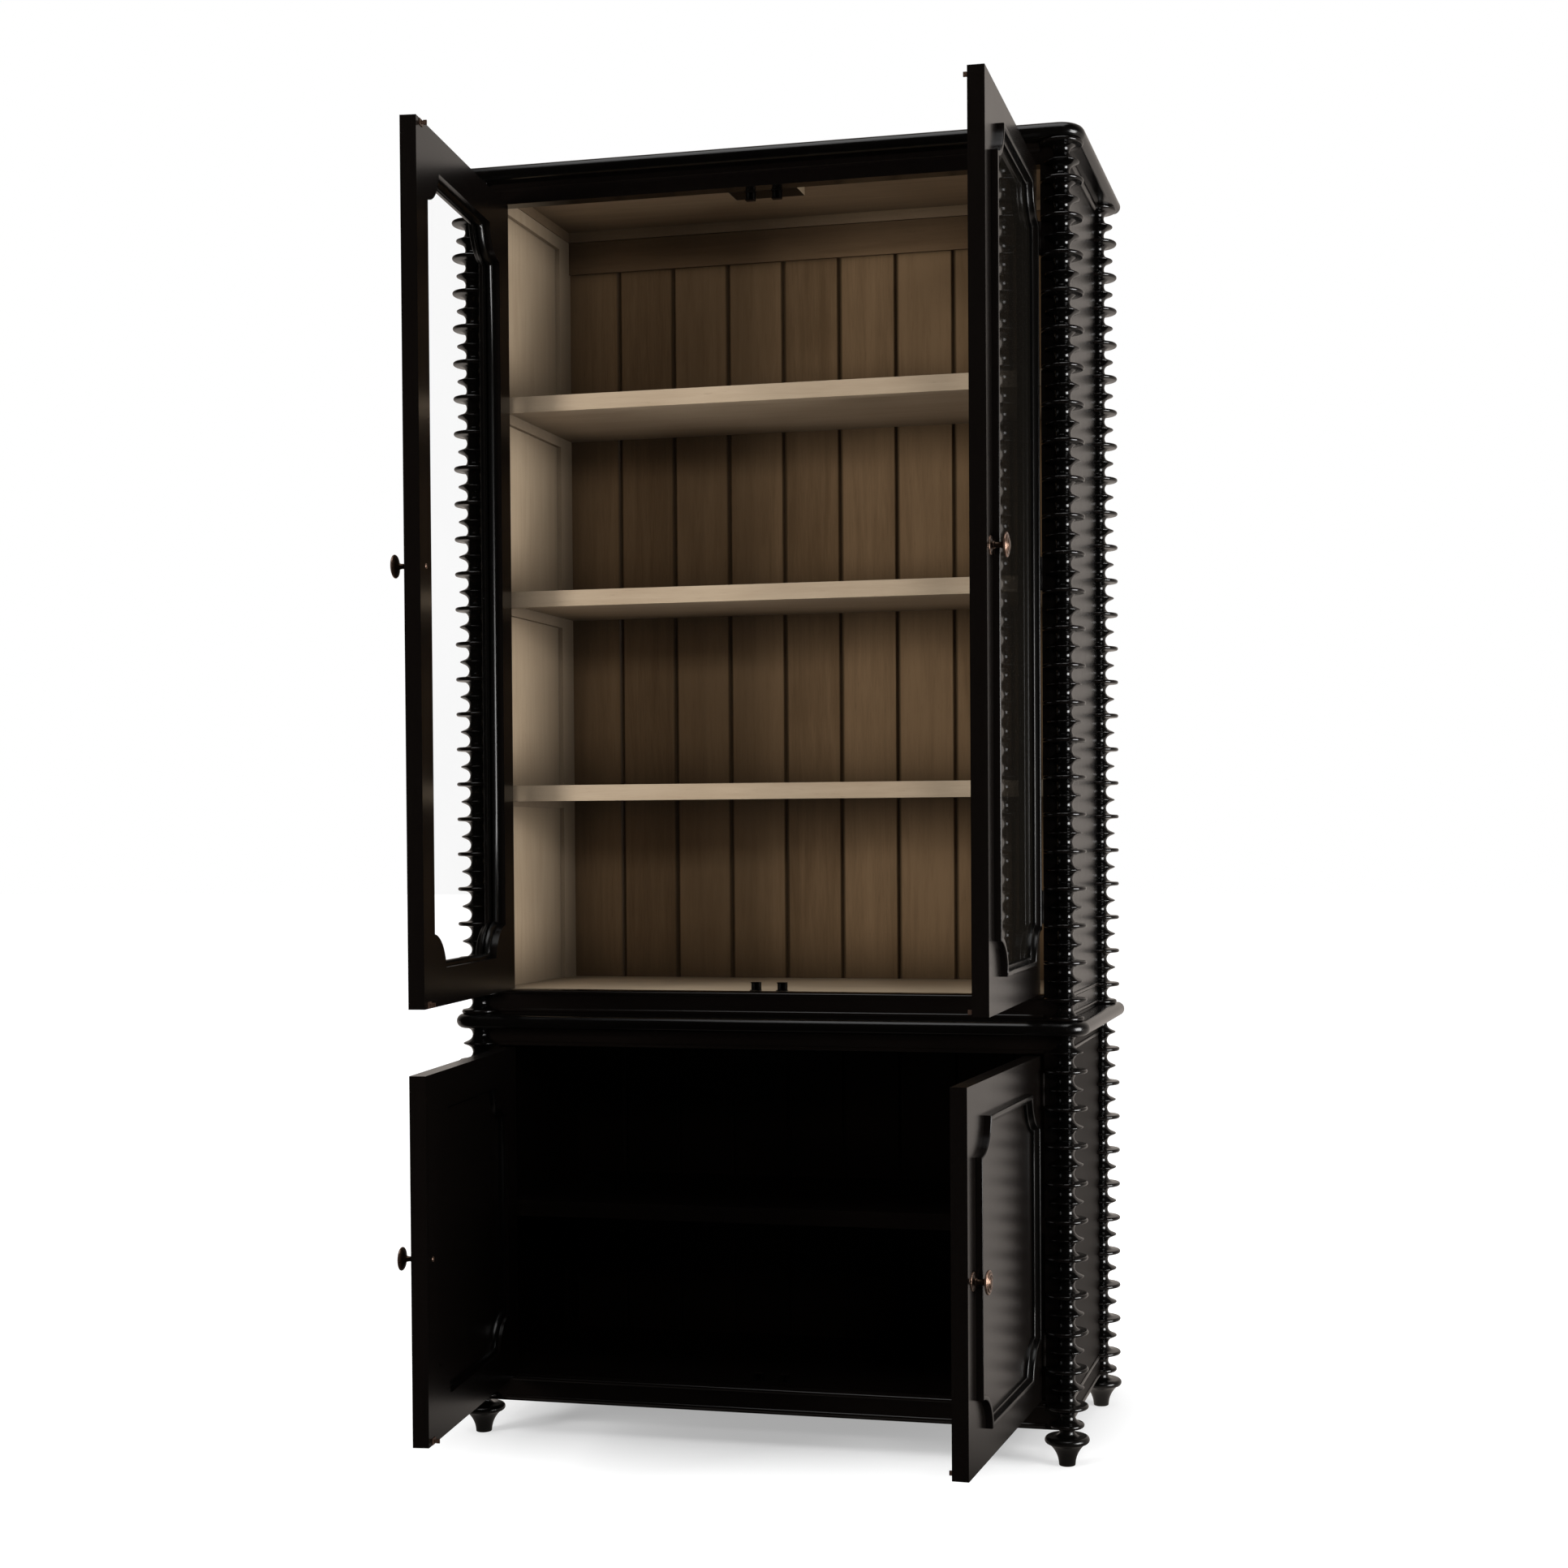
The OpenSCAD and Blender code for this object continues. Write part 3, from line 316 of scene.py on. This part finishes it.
def antique_metal(name, dark, bright, rough, metal, gloss):
    """Darkened brass: brown patina in the hollows, rubbed bright where it stands proud."""
    mat, tree, bsdf = new_material(name)
    coords, _ = object_coords(tree, (1.0, 1.0, 1.0))
    patina = noise(tree, coords, 160.0, 5.0, 0.65)
    geometry = add(tree, "ShaderNodeNewGeometry")
    edge = ramp(tree, geometry.outputs["Pointiness"], [(0.5, (0, 0, 0)), (0.58, (1, 1, 1))])
    rubbed = math_node(tree, "MULTIPLY", edge, patina)
    tree.links.new(mix_colour(tree, rubbed, dark, bright), bsdf.inputs["Base Color"])
    tree.links.new(spread(tree, patina, rough - 0.08, rough + 0.14), bsdf.inputs["Roughness"])
    bumped(tree, bsdf, patina, 0.12, 0.0003)
    bsdf.inputs["Metallic"].default_value = metal
    bsdf.inputs["Specular IOR Level"].default_value = gloss
    return mat


def clear_glass(name):
    """Thin float glass: nearly clear seen straight on, dark and closed seen along it."""
    mat, tree, bsdf = new_material(name)
    coords, _ = object_coords(tree, (1.0, 1.0, 1.0))
    wave = noise(tree, coords, 3.0, 2.0)
    tree.links.new(spread(tree, wave, 0.0, 0.06), bsdf.inputs["Roughness"])
    bumped(tree, bsdf, wave, 0.02, 0.002)
    facing = add(tree, "ShaderNodeLayerWeight", Blend=0.5).outputs["Facing"]
    film = math_node(tree, "MULTIPLY_ADD", wave, 0.02, spread(tree, facing, 0.02, 0.8, 0.71, 0.84))
    tree.links.new(film, bsdf.inputs["Alpha"])
    bsdf.inputs["Base Color"].default_value = (0.005, 0.0043, 0.0034, 1)
    bsdf.inputs["Specular IOR Level"].default_value = 0.05
    bsdf.inputs["IOR"].default_value = 1.45
    return mat


# Half the width of the back, in metres
BACK_HALF = 0.545
BLACK_TONE = (0.0009, 0.0008, 0.0007)
RUBBED = (0.005, 0.0034, 0.0027)
# Stretches of the grain
FINE_UP, FINE_ALONG, TURNING = (40.0, 40.0, 3.0), (3.0, 40.0, 40.0), (6.0, 6.0, 30.0)
UPRIGHT, ACROSS = (26.0, 26.0, 1.6), (1.6, 26.0, 26.0)
BLACK = lacquer("black_lacquer", BLACK_TONE, RUBBED, 0.23, 0.36, FINE_UP)
BLACK_LONG = lacquer("black_lacquer_long", BLACK_TONE, RUBBED, 0.2, 0.36, FINE_ALONG)
BLACK_BLOCK = lacquer("black_lacquer_block", BLACK_TONE, RUBBED, 0.4, 0.2, FINE_ALONG, ends=0.0665)
TURNED = lacquer("black_lacquer_turned", BLACK_TONE, (0.008, 0.005, 0.004), 0.17, 0.42, TURNING,
                 pores=0.02, wear=0.7)
INSIDE = lacquer("black_interior", (0.0011, 0.0007, 0.0005), (0.005, 0.0032, 0.0024), 0.5, 0.08,
                 FINE_ALONG, pores=0.1, wear=0.3)
# One bleached finish, its tones set piece by piece to how brightly each piece is lit: the back
# boards, back rail, ceiling and shelves are darker copies with painted shade, and the upper floor
# is a lighter copy with painted light. The side panels' darkening towards the back is painted shade
# too.
WOOD_SIDE = bleached_wood("bleached_wood_side", (0.52, 0.41, 0.285), (0.40, 0.30, 0.20), UPRIGHT,
                          painted=[("X", 0.5655)], shade_depths=(0.2, 0.44))
WOOD_BACK_SHADED = bleached_wood("bleached_wood_back_shaded", (0.185, 0.118, 0.063), (0.105, 0.064, 0.032),
                          UPRIGHT, board=0.118, painted=[("Y", 0.4577)])
WOOD_RAIL_SHADED = bleached_wood("bleached_wood_rail_shaded", (0.15, 0.095, 0.052), (0.095, 0.058, 0.03), ACROSS)
WOOD_CEILING_SHADED = bleached_wood("bleached_wood_ceiling_shaded", (0.30, 0.21, 0.13), (0.19, 0.128, 0.075),
                             ACROSS, painted=[("Z", 2.3995)])
WOOD_SHELF_SHADED = bleached_wood("bleached_wood_shelf_shaded", (0.385, 0.3, 0.21), (0.295, 0.22, 0.147), ACROSS)
WOOD_FLOOR_LIT = bleached_wood("bleached_wood_floor_lit", (0.56, 0.45, 0.32), (0.45, 0.35, 0.24), ACROSS)
BRONZE = antique_metal("antique_bronze", (0.06, 0.037, 0.025), (0.75, 0.48, 0.36), 0.27, 0.9, 0.4)
STRIKE_BRONZE = antique_metal("antique_bronze_strikes", (0.02, 0.012, 0.008), (0.2, 0.12, 0.085),
                              0.36, 0.6, 0.25)
DARK_BRONZE = antique_metal("antique_bronze_dark", (0.0016, 0.0012, 0.0009), (0.006, 0.004, 0.003),
                            0.45, 0.0, 0.08)
GLASS = clear_glass("clear_glass")


# Materials of the carried-over nodes

def give(name, material):
    ob = nodes[name]
    for slot in ob.material_slots:
        slot.material = material
    if not ob.material_slots:
        ob.data.materials.append(material)


for name in ("cornice_board", "cornice_moulding", "upper_top_rail", "upper_bottom_rail",
             "waist_board", "lower_top_rail", "lower_bottom_rail", "rail_beads"):
    give(name, BLACK_LONG)
give("front_stiles", BLACK)
give("catch_block", BLACK_BLOCK)
for name in ("lower_side_left", "lower_side_right", "lower_back_boards", "lower_floor",
             "lower_shelf"):
    give(name, INSIDE)
for name in ("upper_side_left", "upper_side_right"):
    give(name, WOOD_SIDE)
give("upper_back_boards", WOOD_BACK_SHADED)
give("upper_back_rail", WOOD_RAIL_SHADED)
give("upper_ceiling", WOOD_CEILING_SHADED)
for name in ("shelf_top", "shelf_middle", "shelf_bottom", "shelf_cleats"):
    give(name, WOOD_SHELF_SHADED)
give("upper_floor", WOOD_FLOOR_LIT)
for name in ("catches", "case_hinges"):
    give(name, DARK_BRONZE)
for hand in ("left", "right"):
    for tier in ("upper", "lower"):
        give(f"{tier}_{hand}_door_frame", BLACK)
        give(f"{tier}_{hand}_hinge_leaves", DARK_BRONZE)
    give(f"upper_{hand}_strikes", STRIKE_BRONZE)
    give(f"lower_{hand}_strike", STRIKE_BRONZE)
    give(f"upper_{hand}_glass", GLASS)
    give(f"lower_{hand}_panel", BLACK)


# Posts and feet

NECK = 14.4
LIP_STEPS, COVE_STEPS = 5, 7
# A cove's radius as a share of half the pitch, and the room that it leaves for a lip
COVE_SHARE, LIP_ROOM = 0.78, 1.15


def spool_profile(discs, top_z):
    """Radii and heights of a turning: lips, flanks and hollow necks, from the bottom up.
    discs lists each disc's height, radius and half thickness at its lip."""
    z, r, lip = discs[0]
    out = [(NECK, 0.0), (NECK, z - lip)] if z - lip > 0.01 else []
    out.append((r - lip, z - lip))
    for k in range(1, LIP_STEPS + 1):
        a = -math.pi / 2 + math.pi / 2 * k / LIP_STEPS
        out.append((r - lip + lip * math.cos(a), z + lip * math.sin(a)))
    for low, high in zip(discs, discs[1:]):
        half = (high[0] - low[0]) / 2
        neck_z = (high[0] + low[0]) / 2
        cove = min(half * COVE_SHARE, half - LIP_ROOM * max(low[2], high[2]))
        hub = NECK + cove
        slopes = []
        for disc in (low, high):
            run = hub - (disc[1] - disc[2])
            reach = math.hypot(run, half)
            slopes.append(math.atan2(run, half) + math.acos((cove + disc[2]) / reach))
        for k in range(1, LIP_STEPS + 1):
            a = (math.pi / 2 - slopes[0]) * k / LIP_STEPS
            out.append((low[1] - low[2] + low[2] * math.cos(a), low[0] + low[2] * math.sin(a)))
        a0, a1 = -math.pi / 2 - slopes[0], -3 * math.pi / 2 + slopes[1]
        for k in range(COVE_STEPS + 1):
            a = a0 + (a1 - a0) * k / COVE_STEPS
            out.append((hub + cove * math.cos(a), neck_z + cove * math.sin(a)))
        for k in range(LIP_STEPS + 1):
            a = -(math.pi / 2 - slopes[1]) * (1 - k / LIP_STEPS)
            out.append((high[1] - high[2] + high[2] * math.cos(a), high[0] + high[2] * math.sin(a)))
    z, r, lip = discs[-1]
    for k in range(1, LIP_STEPS + 1):
        a = math.pi / 2 * k / LIP_STEPS
        out.append((r - lip + lip * math.cos(a), z + lip * math.sin(a)))
    clipped = []
    for (r0, z0), (r1, z1) in zip(out, out[1:] + out[-1:]):
        if z0 <= top_z:
            clipped.append((r0, z0))
            if z1 > top_z:
                t = (top_z - z0) / (z1 - z0)
                clipped.append((r0 + t * (r1 - r0), top_z))
                break
    clean = [clipped[0]]
    for p in clipped[1:]:
        if math.hypot(p[0] - clean[-1][0], p[1] - clean[-1][1]) > 0.02:
            clean.append(p)
    return clean


UPPER_H, LOWER_H = CORNICE_Z - WAIST_TOP, WAIST_LOW - LIFT
# Radius and half thickness of the discs
LARGE, SMALL = (39.3, 3.6), (31.5, 1.5)
BASE_H, BASE_R, TOP_LIP = 8.6, 34.0, 2.3
# The top disc of a lower post ends inside the waist board
TOP_OVER, LOWEST_LARGE_Z = 4.0, 45.0
# Distances between large discs
UPPER_PITCH = (UPPER_H - TOP_LIP - BASE_H) / 23.45
LOWER_PITCH = (LOWER_H + TOP_OVER - LOWEST_LARGE_Z) / 10


def alternating(top_z, pitch, count):
    """Large and small discs by turns, the top one large and at top_z."""
    return [(top_z - i * pitch / 2, *(LARGE, SMALL)[i % 2]) for i in range(count - 1, -1, -1)]


upper_discs = [(BASE_H / 2, BASE_R, BASE_H / 2)] + alternating(UPPER_H - TOP_LIP, UPPER_PITCH, 47)
lower_discs = [(11.0, SMALL[0], 4.0)] + alternating(LOWER_H + TOP_OVER, LOWER_PITCH, 21)

upper_shape = lathe_corner(spool_profile(upper_discs, UPPER_H), 42)
lower_shape = lathe_corner(spool_profile(lower_discs, LOWER_H), 42)
for front, sy in (("front", 1), ("rear", -1)):
    for hand, sx in (("left", -1), ("right", 1)):
        for tier, shape, z in (("upper", upper_shape, WAIST_TOP), ("lower", lower_shape, LIFT)):
            verts, faces = mirrored(*shape, sx, sy)
            make_object(f"turned_{tier}_post_{front}_{hand}",
                        moved(verts, sx * SPAN_X, -sy * SPAN_Y, z), faces, "case", TURNED,
                        "black_lacquer", 40.0, [f"{tier}_post_{front}_{hand}"])

# A foot: worn edge on the floor, hollow taper, wide round ring, and a collar up to the post
ANKLE_R, FLARE_R, TAPER_LOW, TAPER_TOP, FLARE_Z = 15.0, 34.0, 1.8, 39.6, 40.0
RING_R, RING_Z, RING_HALF = 34.3, 46.5, 6.5
taper_r = ((FLARE_R - ANKLE_R) ** 2 + FLARE_Z ** 2) / (2 * (FLARE_R - ANKLE_R))
foot_profile = [(0.0, 0.0), (13.5, 0.0), (14.7, 0.6), (ANKLE_R, TAPER_LOW)]
for k in range(1, 15):
    z = TAPER_LOW + (TAPER_TOP - TAPER_LOW) * k / 14
    foot_profile.append((ANKLE_R + taper_r - math.sqrt(taper_r ** 2 - z ** 2), z))
foot_profile.append((34.5, FLARE_Z))
for k in range(1, 12):
    a = -math.pi / 2 + math.pi * k / 12
    foot_profile.append((RING_R + RING_HALF * math.cos(a), RING_Z + RING_HALF * math.sin(a)))
foot_profile += [(34.5, 53.0), (25.0, 53.0), (19.5, 54.0), (16.0, 56.5), (14.8, 59.0),
                 (NECK, LIFT), (0.0, LIFT)]
foot = lathe(foot_profile, 48)
feet = joined([(moved(foot[0], sx * SPAN_X, sy * SPAN_Y, 0), foot[1])
               for sx in (-1, 1) for sy in (-1, 1)])
make_object("turned_feet", *feet, "case", BLACK, "black_lacquer", 40.0, ["feet"])


# Doors

# From a pin to the door's edge and from its line to the door's face, the door's width and the
# distance of a knob from the free edge
NEAR, FACE_Y, DOOR_W, KNOB_INSET = 1.5, 4.0, 522.5, 31.0
# The mouldings' outline: distances from the door's edges, radius of the hollow corners, lap
MOULD_X, MOULD_Z, NOTCH, LAP = 50.0, 57.0, 60.0, 7.0
# Side, angle at which the door stands open, height of its lower edge, height of the door
DOORS = {
    "upper_left": (-1, 83.0, 851.0, 1484.0), "upper_right": (1, 91.0, 851.0, 1484.0),
    "lower_left": (-1, 83.0, 116.0, 624.0), "lower_right": (1, 87.0, 116.0, 624.0),
}


def on_door(name, verts, faces):
    """Turns a door's points, measured from its pin and its lower edge, to the cabinet's."""
    side, angle, base, _ = DOORS[name]
    a = math.radians(-angle)
    out = []
    for x, y, z in verts:
        px = x * math.cos(a) - y * math.sin(a) - PIN_X
        py = x * math.sin(a) + y * math.cos(a) + PIN_Y
        out.append((px if side < 0 else -px, py, z + base))
    if side > 0:
        faces = [tuple(reversed(f)) for f in faces]
    return out, faces


def notched_loop(width, height, grow, arc_steps=14, edge_steps=6):
    """Outline with hollow corners, the same number of points for every offset."""
    r = NOTCH + grow
    a0 = math.asin(grow / r) if grow > 0 else 0.0
    a1 = math.pi / 2 - a0
    arcs = []
    far_x, far_z = width - MOULD_X, height - MOULD_Z
    for cx, cz, sx, sz in ((MOULD_X, MOULD_Z, 1, 1), (far_x, MOULD_Z, -1, 1),
                           (far_x, far_z, -1, -1), (MOULD_X, far_z, 1, -1)):
        arc = []
        for k in range(arc_steps + 1):
            a = a0 + (a1 - a0) * k / arc_steps
            arc.append((cx + sx * r * math.cos(a), cz + sz * r * math.sin(a)))
        if sx * sz > 0:
            arc.reverse()
        arcs.append(arc)
    out = []
    for i, arc in enumerate(arcs):
        out += arc
        end, start = arc[-1], arcs[(i + 1) % 4][0]
        for k in range(1, edge_steps):
            t = k / edge_steps
            out.append((end[0] + t * (start[0] - end[0]), end[1] + t * (start[1] - end[1])))
    return out


def swept(width, height, profile):
    """Sweeps a closed profile of (offset, depth) points round the notched outline."""
    loops = [[(x + NEAR, FACE_Y + depth, z) for x, z in notched_loop(width, height, grow)]
             for grow, depth in profile]
    n, m = len(loops[0]), len(loops)
    verts = [p for loop in loops for p in loop]
    faces = []
    for i in range(m):
        j = (i + 1) % m
        for k in range(n):
            k2 = (k + 1) % n
            faces.append((i * n + k, j * n + k, j * n + k2, i * n + k2))
    return verts, faces


def arc_points(cx, cd, r, start, stop, steps):
    """Points of an arc in a profile, whose depth runs against the sine."""
    angles = [math.radians(start + (stop - start) * k / steps) for k in range(steps + 1)]
    return [(cx + r * math.cos(a), cd - r * math.sin(a)) for a in angles]


# Across the moulding: a straight side, a flat top with round edges, a steep inner side and a bead
MOULD = ([(0.0, 0.0), (0.0, -9.8)]
         + arc_points(2.0, -9.8, 2.0, 180, 90, 5)
         + arc_points(6.8, -9.8, 2.0, 90, 10, 5)
         + [(9.3, -7.5), (10.4, -3.8), (11.6, -1.8)]
         + arc_points(13.8, -0.9, 2.0, 150, 0, 6)
         + [(15.8, 3.0), (LAP, 3.0), (LAP, 0.0)])
# The strip that holds the glass, and the one that holds the thicker panel
STOP_UP = [(LAP, 7.0), (LAP + 9.0, 7.0), (LAP + 9.0, 8.5), (LAP + 6.0, 14.5), (LAP + 3.5, 16.0),
           (LAP, 16.0)]
STOP_LOW = [(g, d + 6.0) for g, d in STOP_UP]

# Turned knob on its plate, from the door's face outwards, and the screw's head inside the door
KNOB = [(0.0, 0.0), (15.2, 0.0), (15.5, 0.5), (15.4, 1.2), (14.6, 1.8), (13.6, 1.9), (13.0, 1.5),
        (12.0, 1.6), (10.4, 2.4), (8.4, 3.1), (6.8, 3.6), (6.3, 4.4), (6.6, 5.2), (6.3, 6.0),
        (5.2, 7.2), (4.6, 9.5), (4.4, 12.0), (4.6, 15.0), (5.2, 17.5), (6.6, 19.4), (8.8, 20.6),
        (12.0, 21.6), (15.6, 22.5), (18.4, 23.6), (19.7, 24.9), (20.0, 26.1), (19.5, 27.3),
        (18.4, 28.0), (17.2, 27.9), (16.6, 27.4), (16.0, 27.5), (15.4, 28.3), (14.4, 29.2),
        (13.0, 29.6), (11.9, 29.2), (11.3, 28.6), (10.6, 28.7), (9.8, 29.6), (8.2, 30.7),
        (6.0, 31.5), (3.6, 31.9), (1.6, 32.0), (0.0, 32.0)]
SCREW = [(0.0, -29.5), (1.0, -29.5), (3.2, -29.2), (4.3, -28.5), (4.5, -28.0), (0.0, -28.0)]
knob = joined([lathe(KNOB, 56), lathe(SCREW, 32)])

for name, (*_, height) in DOORS.items():
    stop = STOP_UP if name.startswith("upper") else STOP_LOW
    body = f"{name}_door"
    moulding = joined([swept(DOOR_W, height, MOULD), swept(DOOR_W, height, stop)])
    make_object(f"{name}_moulding_rounded", *on_door(name, *moulding), body, BLACK,
                "black_lacquer", 40.0, [f"{name}_door_moulding"])
    knob_x, knob_z = NEAR + DOOR_W - KNOB_INSET, height / 2
    verts = [(knob_x + x, FACE_Y - z, knob_z + y) for x, y, z in knob[0]]
    make_object(f"{name}_knob_turned", *on_door(name, verts, knob[1]), body, BRONZE,
                "antique_bronze", 50.0, [f"{name}_knob"])


# Floor, world and lamps

WARM = (1.0, 0.9, 0.82)
# A rectangle inside the case's footprint, in metres: half its width, its middle and half its depth
INNER_HALF_X, INNER_MID_Y, INNER_HALF_Y = 0.45, 0.27, 0.2
# The floor's glow for the camera: its strength in that rectangle, and how far off it is white
GLOW_LEAST, GLOW_WHITE_AT = 0.37, 0.42


def floor_material():
    """Matt grey paper. The camera sees it lifted to white with the distance from the cabinet. The
    lift is least under the cabinet, so part of the shadow's soft outer edge is painted shadow.
    """
    mat, tree, bsdf = new_material("floor_paper")
    bsdf.inputs["Base Color"].default_value = (0.5, 0.5, 0.5, 1)
    bsdf.inputs["Roughness"].default_value = 0.9
    bsdf.inputs["Specular IOR Level"].default_value = 0.1
    coords, _ = object_coords(tree, (1.0, 1.0, 1.0))
    floor_axes = axes(tree, coords)
    # Distance from the rectangle
    away = add(tree, "ShaderNodeCombineXYZ")
    for axis, middle, half in (("X", 0.0, INNER_HALF_X), ("Y", INNER_MID_Y, INNER_HALF_Y)):
        size = math_node(tree, "ABSOLUTE", math_node(tree, "SUBTRACT", floor_axes[axis], middle))
        past = math_node(tree, "SUBTRACT", size, half)
        tree.links.new(math_node(tree, "MAXIMUM", past, 0.0), away.inputs[axis])
    length = add(tree, "ShaderNodeVectorMath", operation="LENGTH")
    tree.links.new(away.outputs["Vector"], length.inputs[0])
    # Painted shadow in part: the glow is least under the cabinet and rises to white away from it
    lift = spread(tree, length.outputs["Value"], GLOW_LEAST, 1.0, 0.0, GLOW_WHITE_AT)
    path = add(tree, "ShaderNodeLightPath")
    seen = math_node(tree, "MAXIMUM", path.outputs["Is Camera Ray"],
                     path.outputs["Is Transmission Ray"])
    glow = add(tree, "ShaderNodeEmission")
    tree.links.new(math_node(tree, "MULTIPLY", seen, lift), glow.inputs["Strength"])
    both = add(tree, "ShaderNodeAddShader")
    tree.links.new(bsdf.outputs[0], both.inputs[0])
    tree.links.new(glow.outputs[0], both.inputs[1])
    # Glossy rays see the floor as they see the room: dark in front, warm and paler behind
    mirrored_floor = add(tree, "ShaderNodeEmission")
    mirrored_floor.inputs["Color"].default_value = (*WARM, 1)
    tree.links.new(spread(tree, floor_axes["Y"], 0.0, 0.6, -0.2, 0.6),
                   mirrored_floor.inputs["Strength"])
    mixer = add(tree, "ShaderNodeMixShader")
    tree.links.new(path.outputs["Is Glossy Ray"], mixer.inputs["Fac"])
    tree.links.new(both.outputs[0], mixer.inputs[1])
    tree.links.new(mirrored_floor.outputs[0], mixer.inputs[2])
    tree.links.new(mixer.outputs[0], tree.nodes["Material Output"].inputs["Surface"])
    return mat


floor_mesh = bpy.data.meshes.new("floor")
FAR = 40
floor_mesh.from_pydata([(-FAR, -FAR, 0), (FAR, -FAR, 0), (FAR, FAR, 0), (-FAR, FAR, 0)], [],
                       [(0, 1, 2, 3)])
floor = bpy.data.objects.new("floor", floor_mesh)
bpy.context.scene.collection.objects.link(floor)
floor.data.materials.append(floor_material())

world = bpy.data.worlds.new("studio")
bpy.context.scene.world = world
world.use_nodes = True
wt = world.node_tree
wt.nodes.clear()
path = add(wt, "ShaderNodeLightPath")
coords = add(wt, "ShaderNodeTexCoord")
depth = axes(wt, coords.outputs["Generated"])["Y"]
# The room is dim on the camera's side and brighter at the sides and behind the cabinet. The camera
# sees plain white, also through the glass. Glossy rays don't: they see a dimmer, warm room that is
# brightest behind the cabinet, so that the black lacquer stays dark
diffuse = spread(wt, depth, 0.06, 0.36, -0.9, 0.1)
glossy = spread(wt, depth, 0.0, 0.55, 0.0, 0.9)
seen = math_node(wt, "MAXIMUM", path.outputs["Is Camera Ray"], path.outputs["Is Transmission Ray"])
is_glossy = path.outputs["Is Glossy Ray"]
gloss_share = math_node(wt, "MULTIPLY", is_glossy, math_node(wt, "SUBTRACT", glossy, diffuse))
plain = math_node(wt, "ADD", diffuse, gloss_share)
strength = math_node(wt, "MAXIMUM", plain, seen)
sky = add(wt, "ShaderNodeBackground")
wt.links.new(mix_colour(wt, is_glossy, (1.0, 1.0, 1.0), WARM), sky.inputs["Color"])
wt.links.new(strength, sky.inputs["Strength"])
wt.links.new(sky.outputs[0], add(wt, "ShaderNodeOutputWorld").inputs["Surface"])


def area(name, place, target, size, power, shines=True):
    lamp = bpy.data.lights.new(name, "AREA")
    lamp.shape = "RECTANGLE"
    lamp.size, lamp.size_y = size
    lamp.energy = power
    ob = bpy.data.objects.new(name, lamp)
    bpy.context.scene.collection.objects.link(ob)
    ob.location = place
    ob.rotation_mode = "QUATERNION"
    ob.rotation_quaternion = (Vector(target) - Vector(place)).to_track_quat("-Z", "Y")
    ob.visible_glossy = shines


# The two lamps in front are hidden from glossy rays and leave no highlight in the lacquer. The one
# at the right and the one above do
area("side", (3.7, -0.95, 1.0), (-0.4, 0.05, 1.0), (1.8, 1.9), 185)
area("key", (1.9, -4.2, 2.5), (0.0, 0.1, 1.1), (0.6, 0.6), 48, shines=False)
area("fill", (-3.2, -2.9, 1.5), (0.3, 0.3, 1.1), (1.2, 1.2), 150, shines=False)
area("top", (0.0, -1.2, 5.2), (0.0, 0.2, 0.8), (3.5, 3.0), 80)

# The photograph's camera, solved from its posts, boards, shelves and doors
IMAGE, SENSOR = 1932.0, 36.0
FOCAL, CX, CY = 2687.6, 1139.1, 1085.9
yaw, pitch, roll = math.radians(12.83), math.radians(-1.09), math.radians(-0.32)
forward = Vector((-math.sin(yaw) * math.cos(pitch), math.cos(yaw) * math.cos(pitch),
                  math.sin(pitch)))
right = Vector((math.cos(yaw), math.sin(yaw), 0.0))
up = right.cross(forward)
rolled_right = right * math.cos(roll) + up * math.sin(roll)
rolled_up = -right * math.sin(roll) + up * math.cos(roll)
camera_data = bpy.data.cameras.new("camera")
camera_data.sensor_width = SENSOR
camera_data.lens = FOCAL * SENSOR / IMAGE
camera_data.shift_x = (IMAGE / 2 - CX) / IMAGE
camera_data.shift_y = (CY - IMAGE / 2) / IMAGE
camera = bpy.data.objects.new("camera", camera_data)
bpy.context.scene.collection.objects.link(camera)
place = Vector((1190.3, -4090.3 + SHIFT, 1129.9)) * MM
camera.matrix_world = Matrix((
    (rolled_right.x, rolled_up.x, -forward.x, place.x),
    (rolled_right.y, rolled_up.y, -forward.y, place.y),
    (rolled_right.z, rolled_up.z, -forward.z, place.z),
    (0, 0, 0, 1),
))
bpy.context.scene.camera = camera
bpy.context.scene.view_settings.view_transform = "Standard"
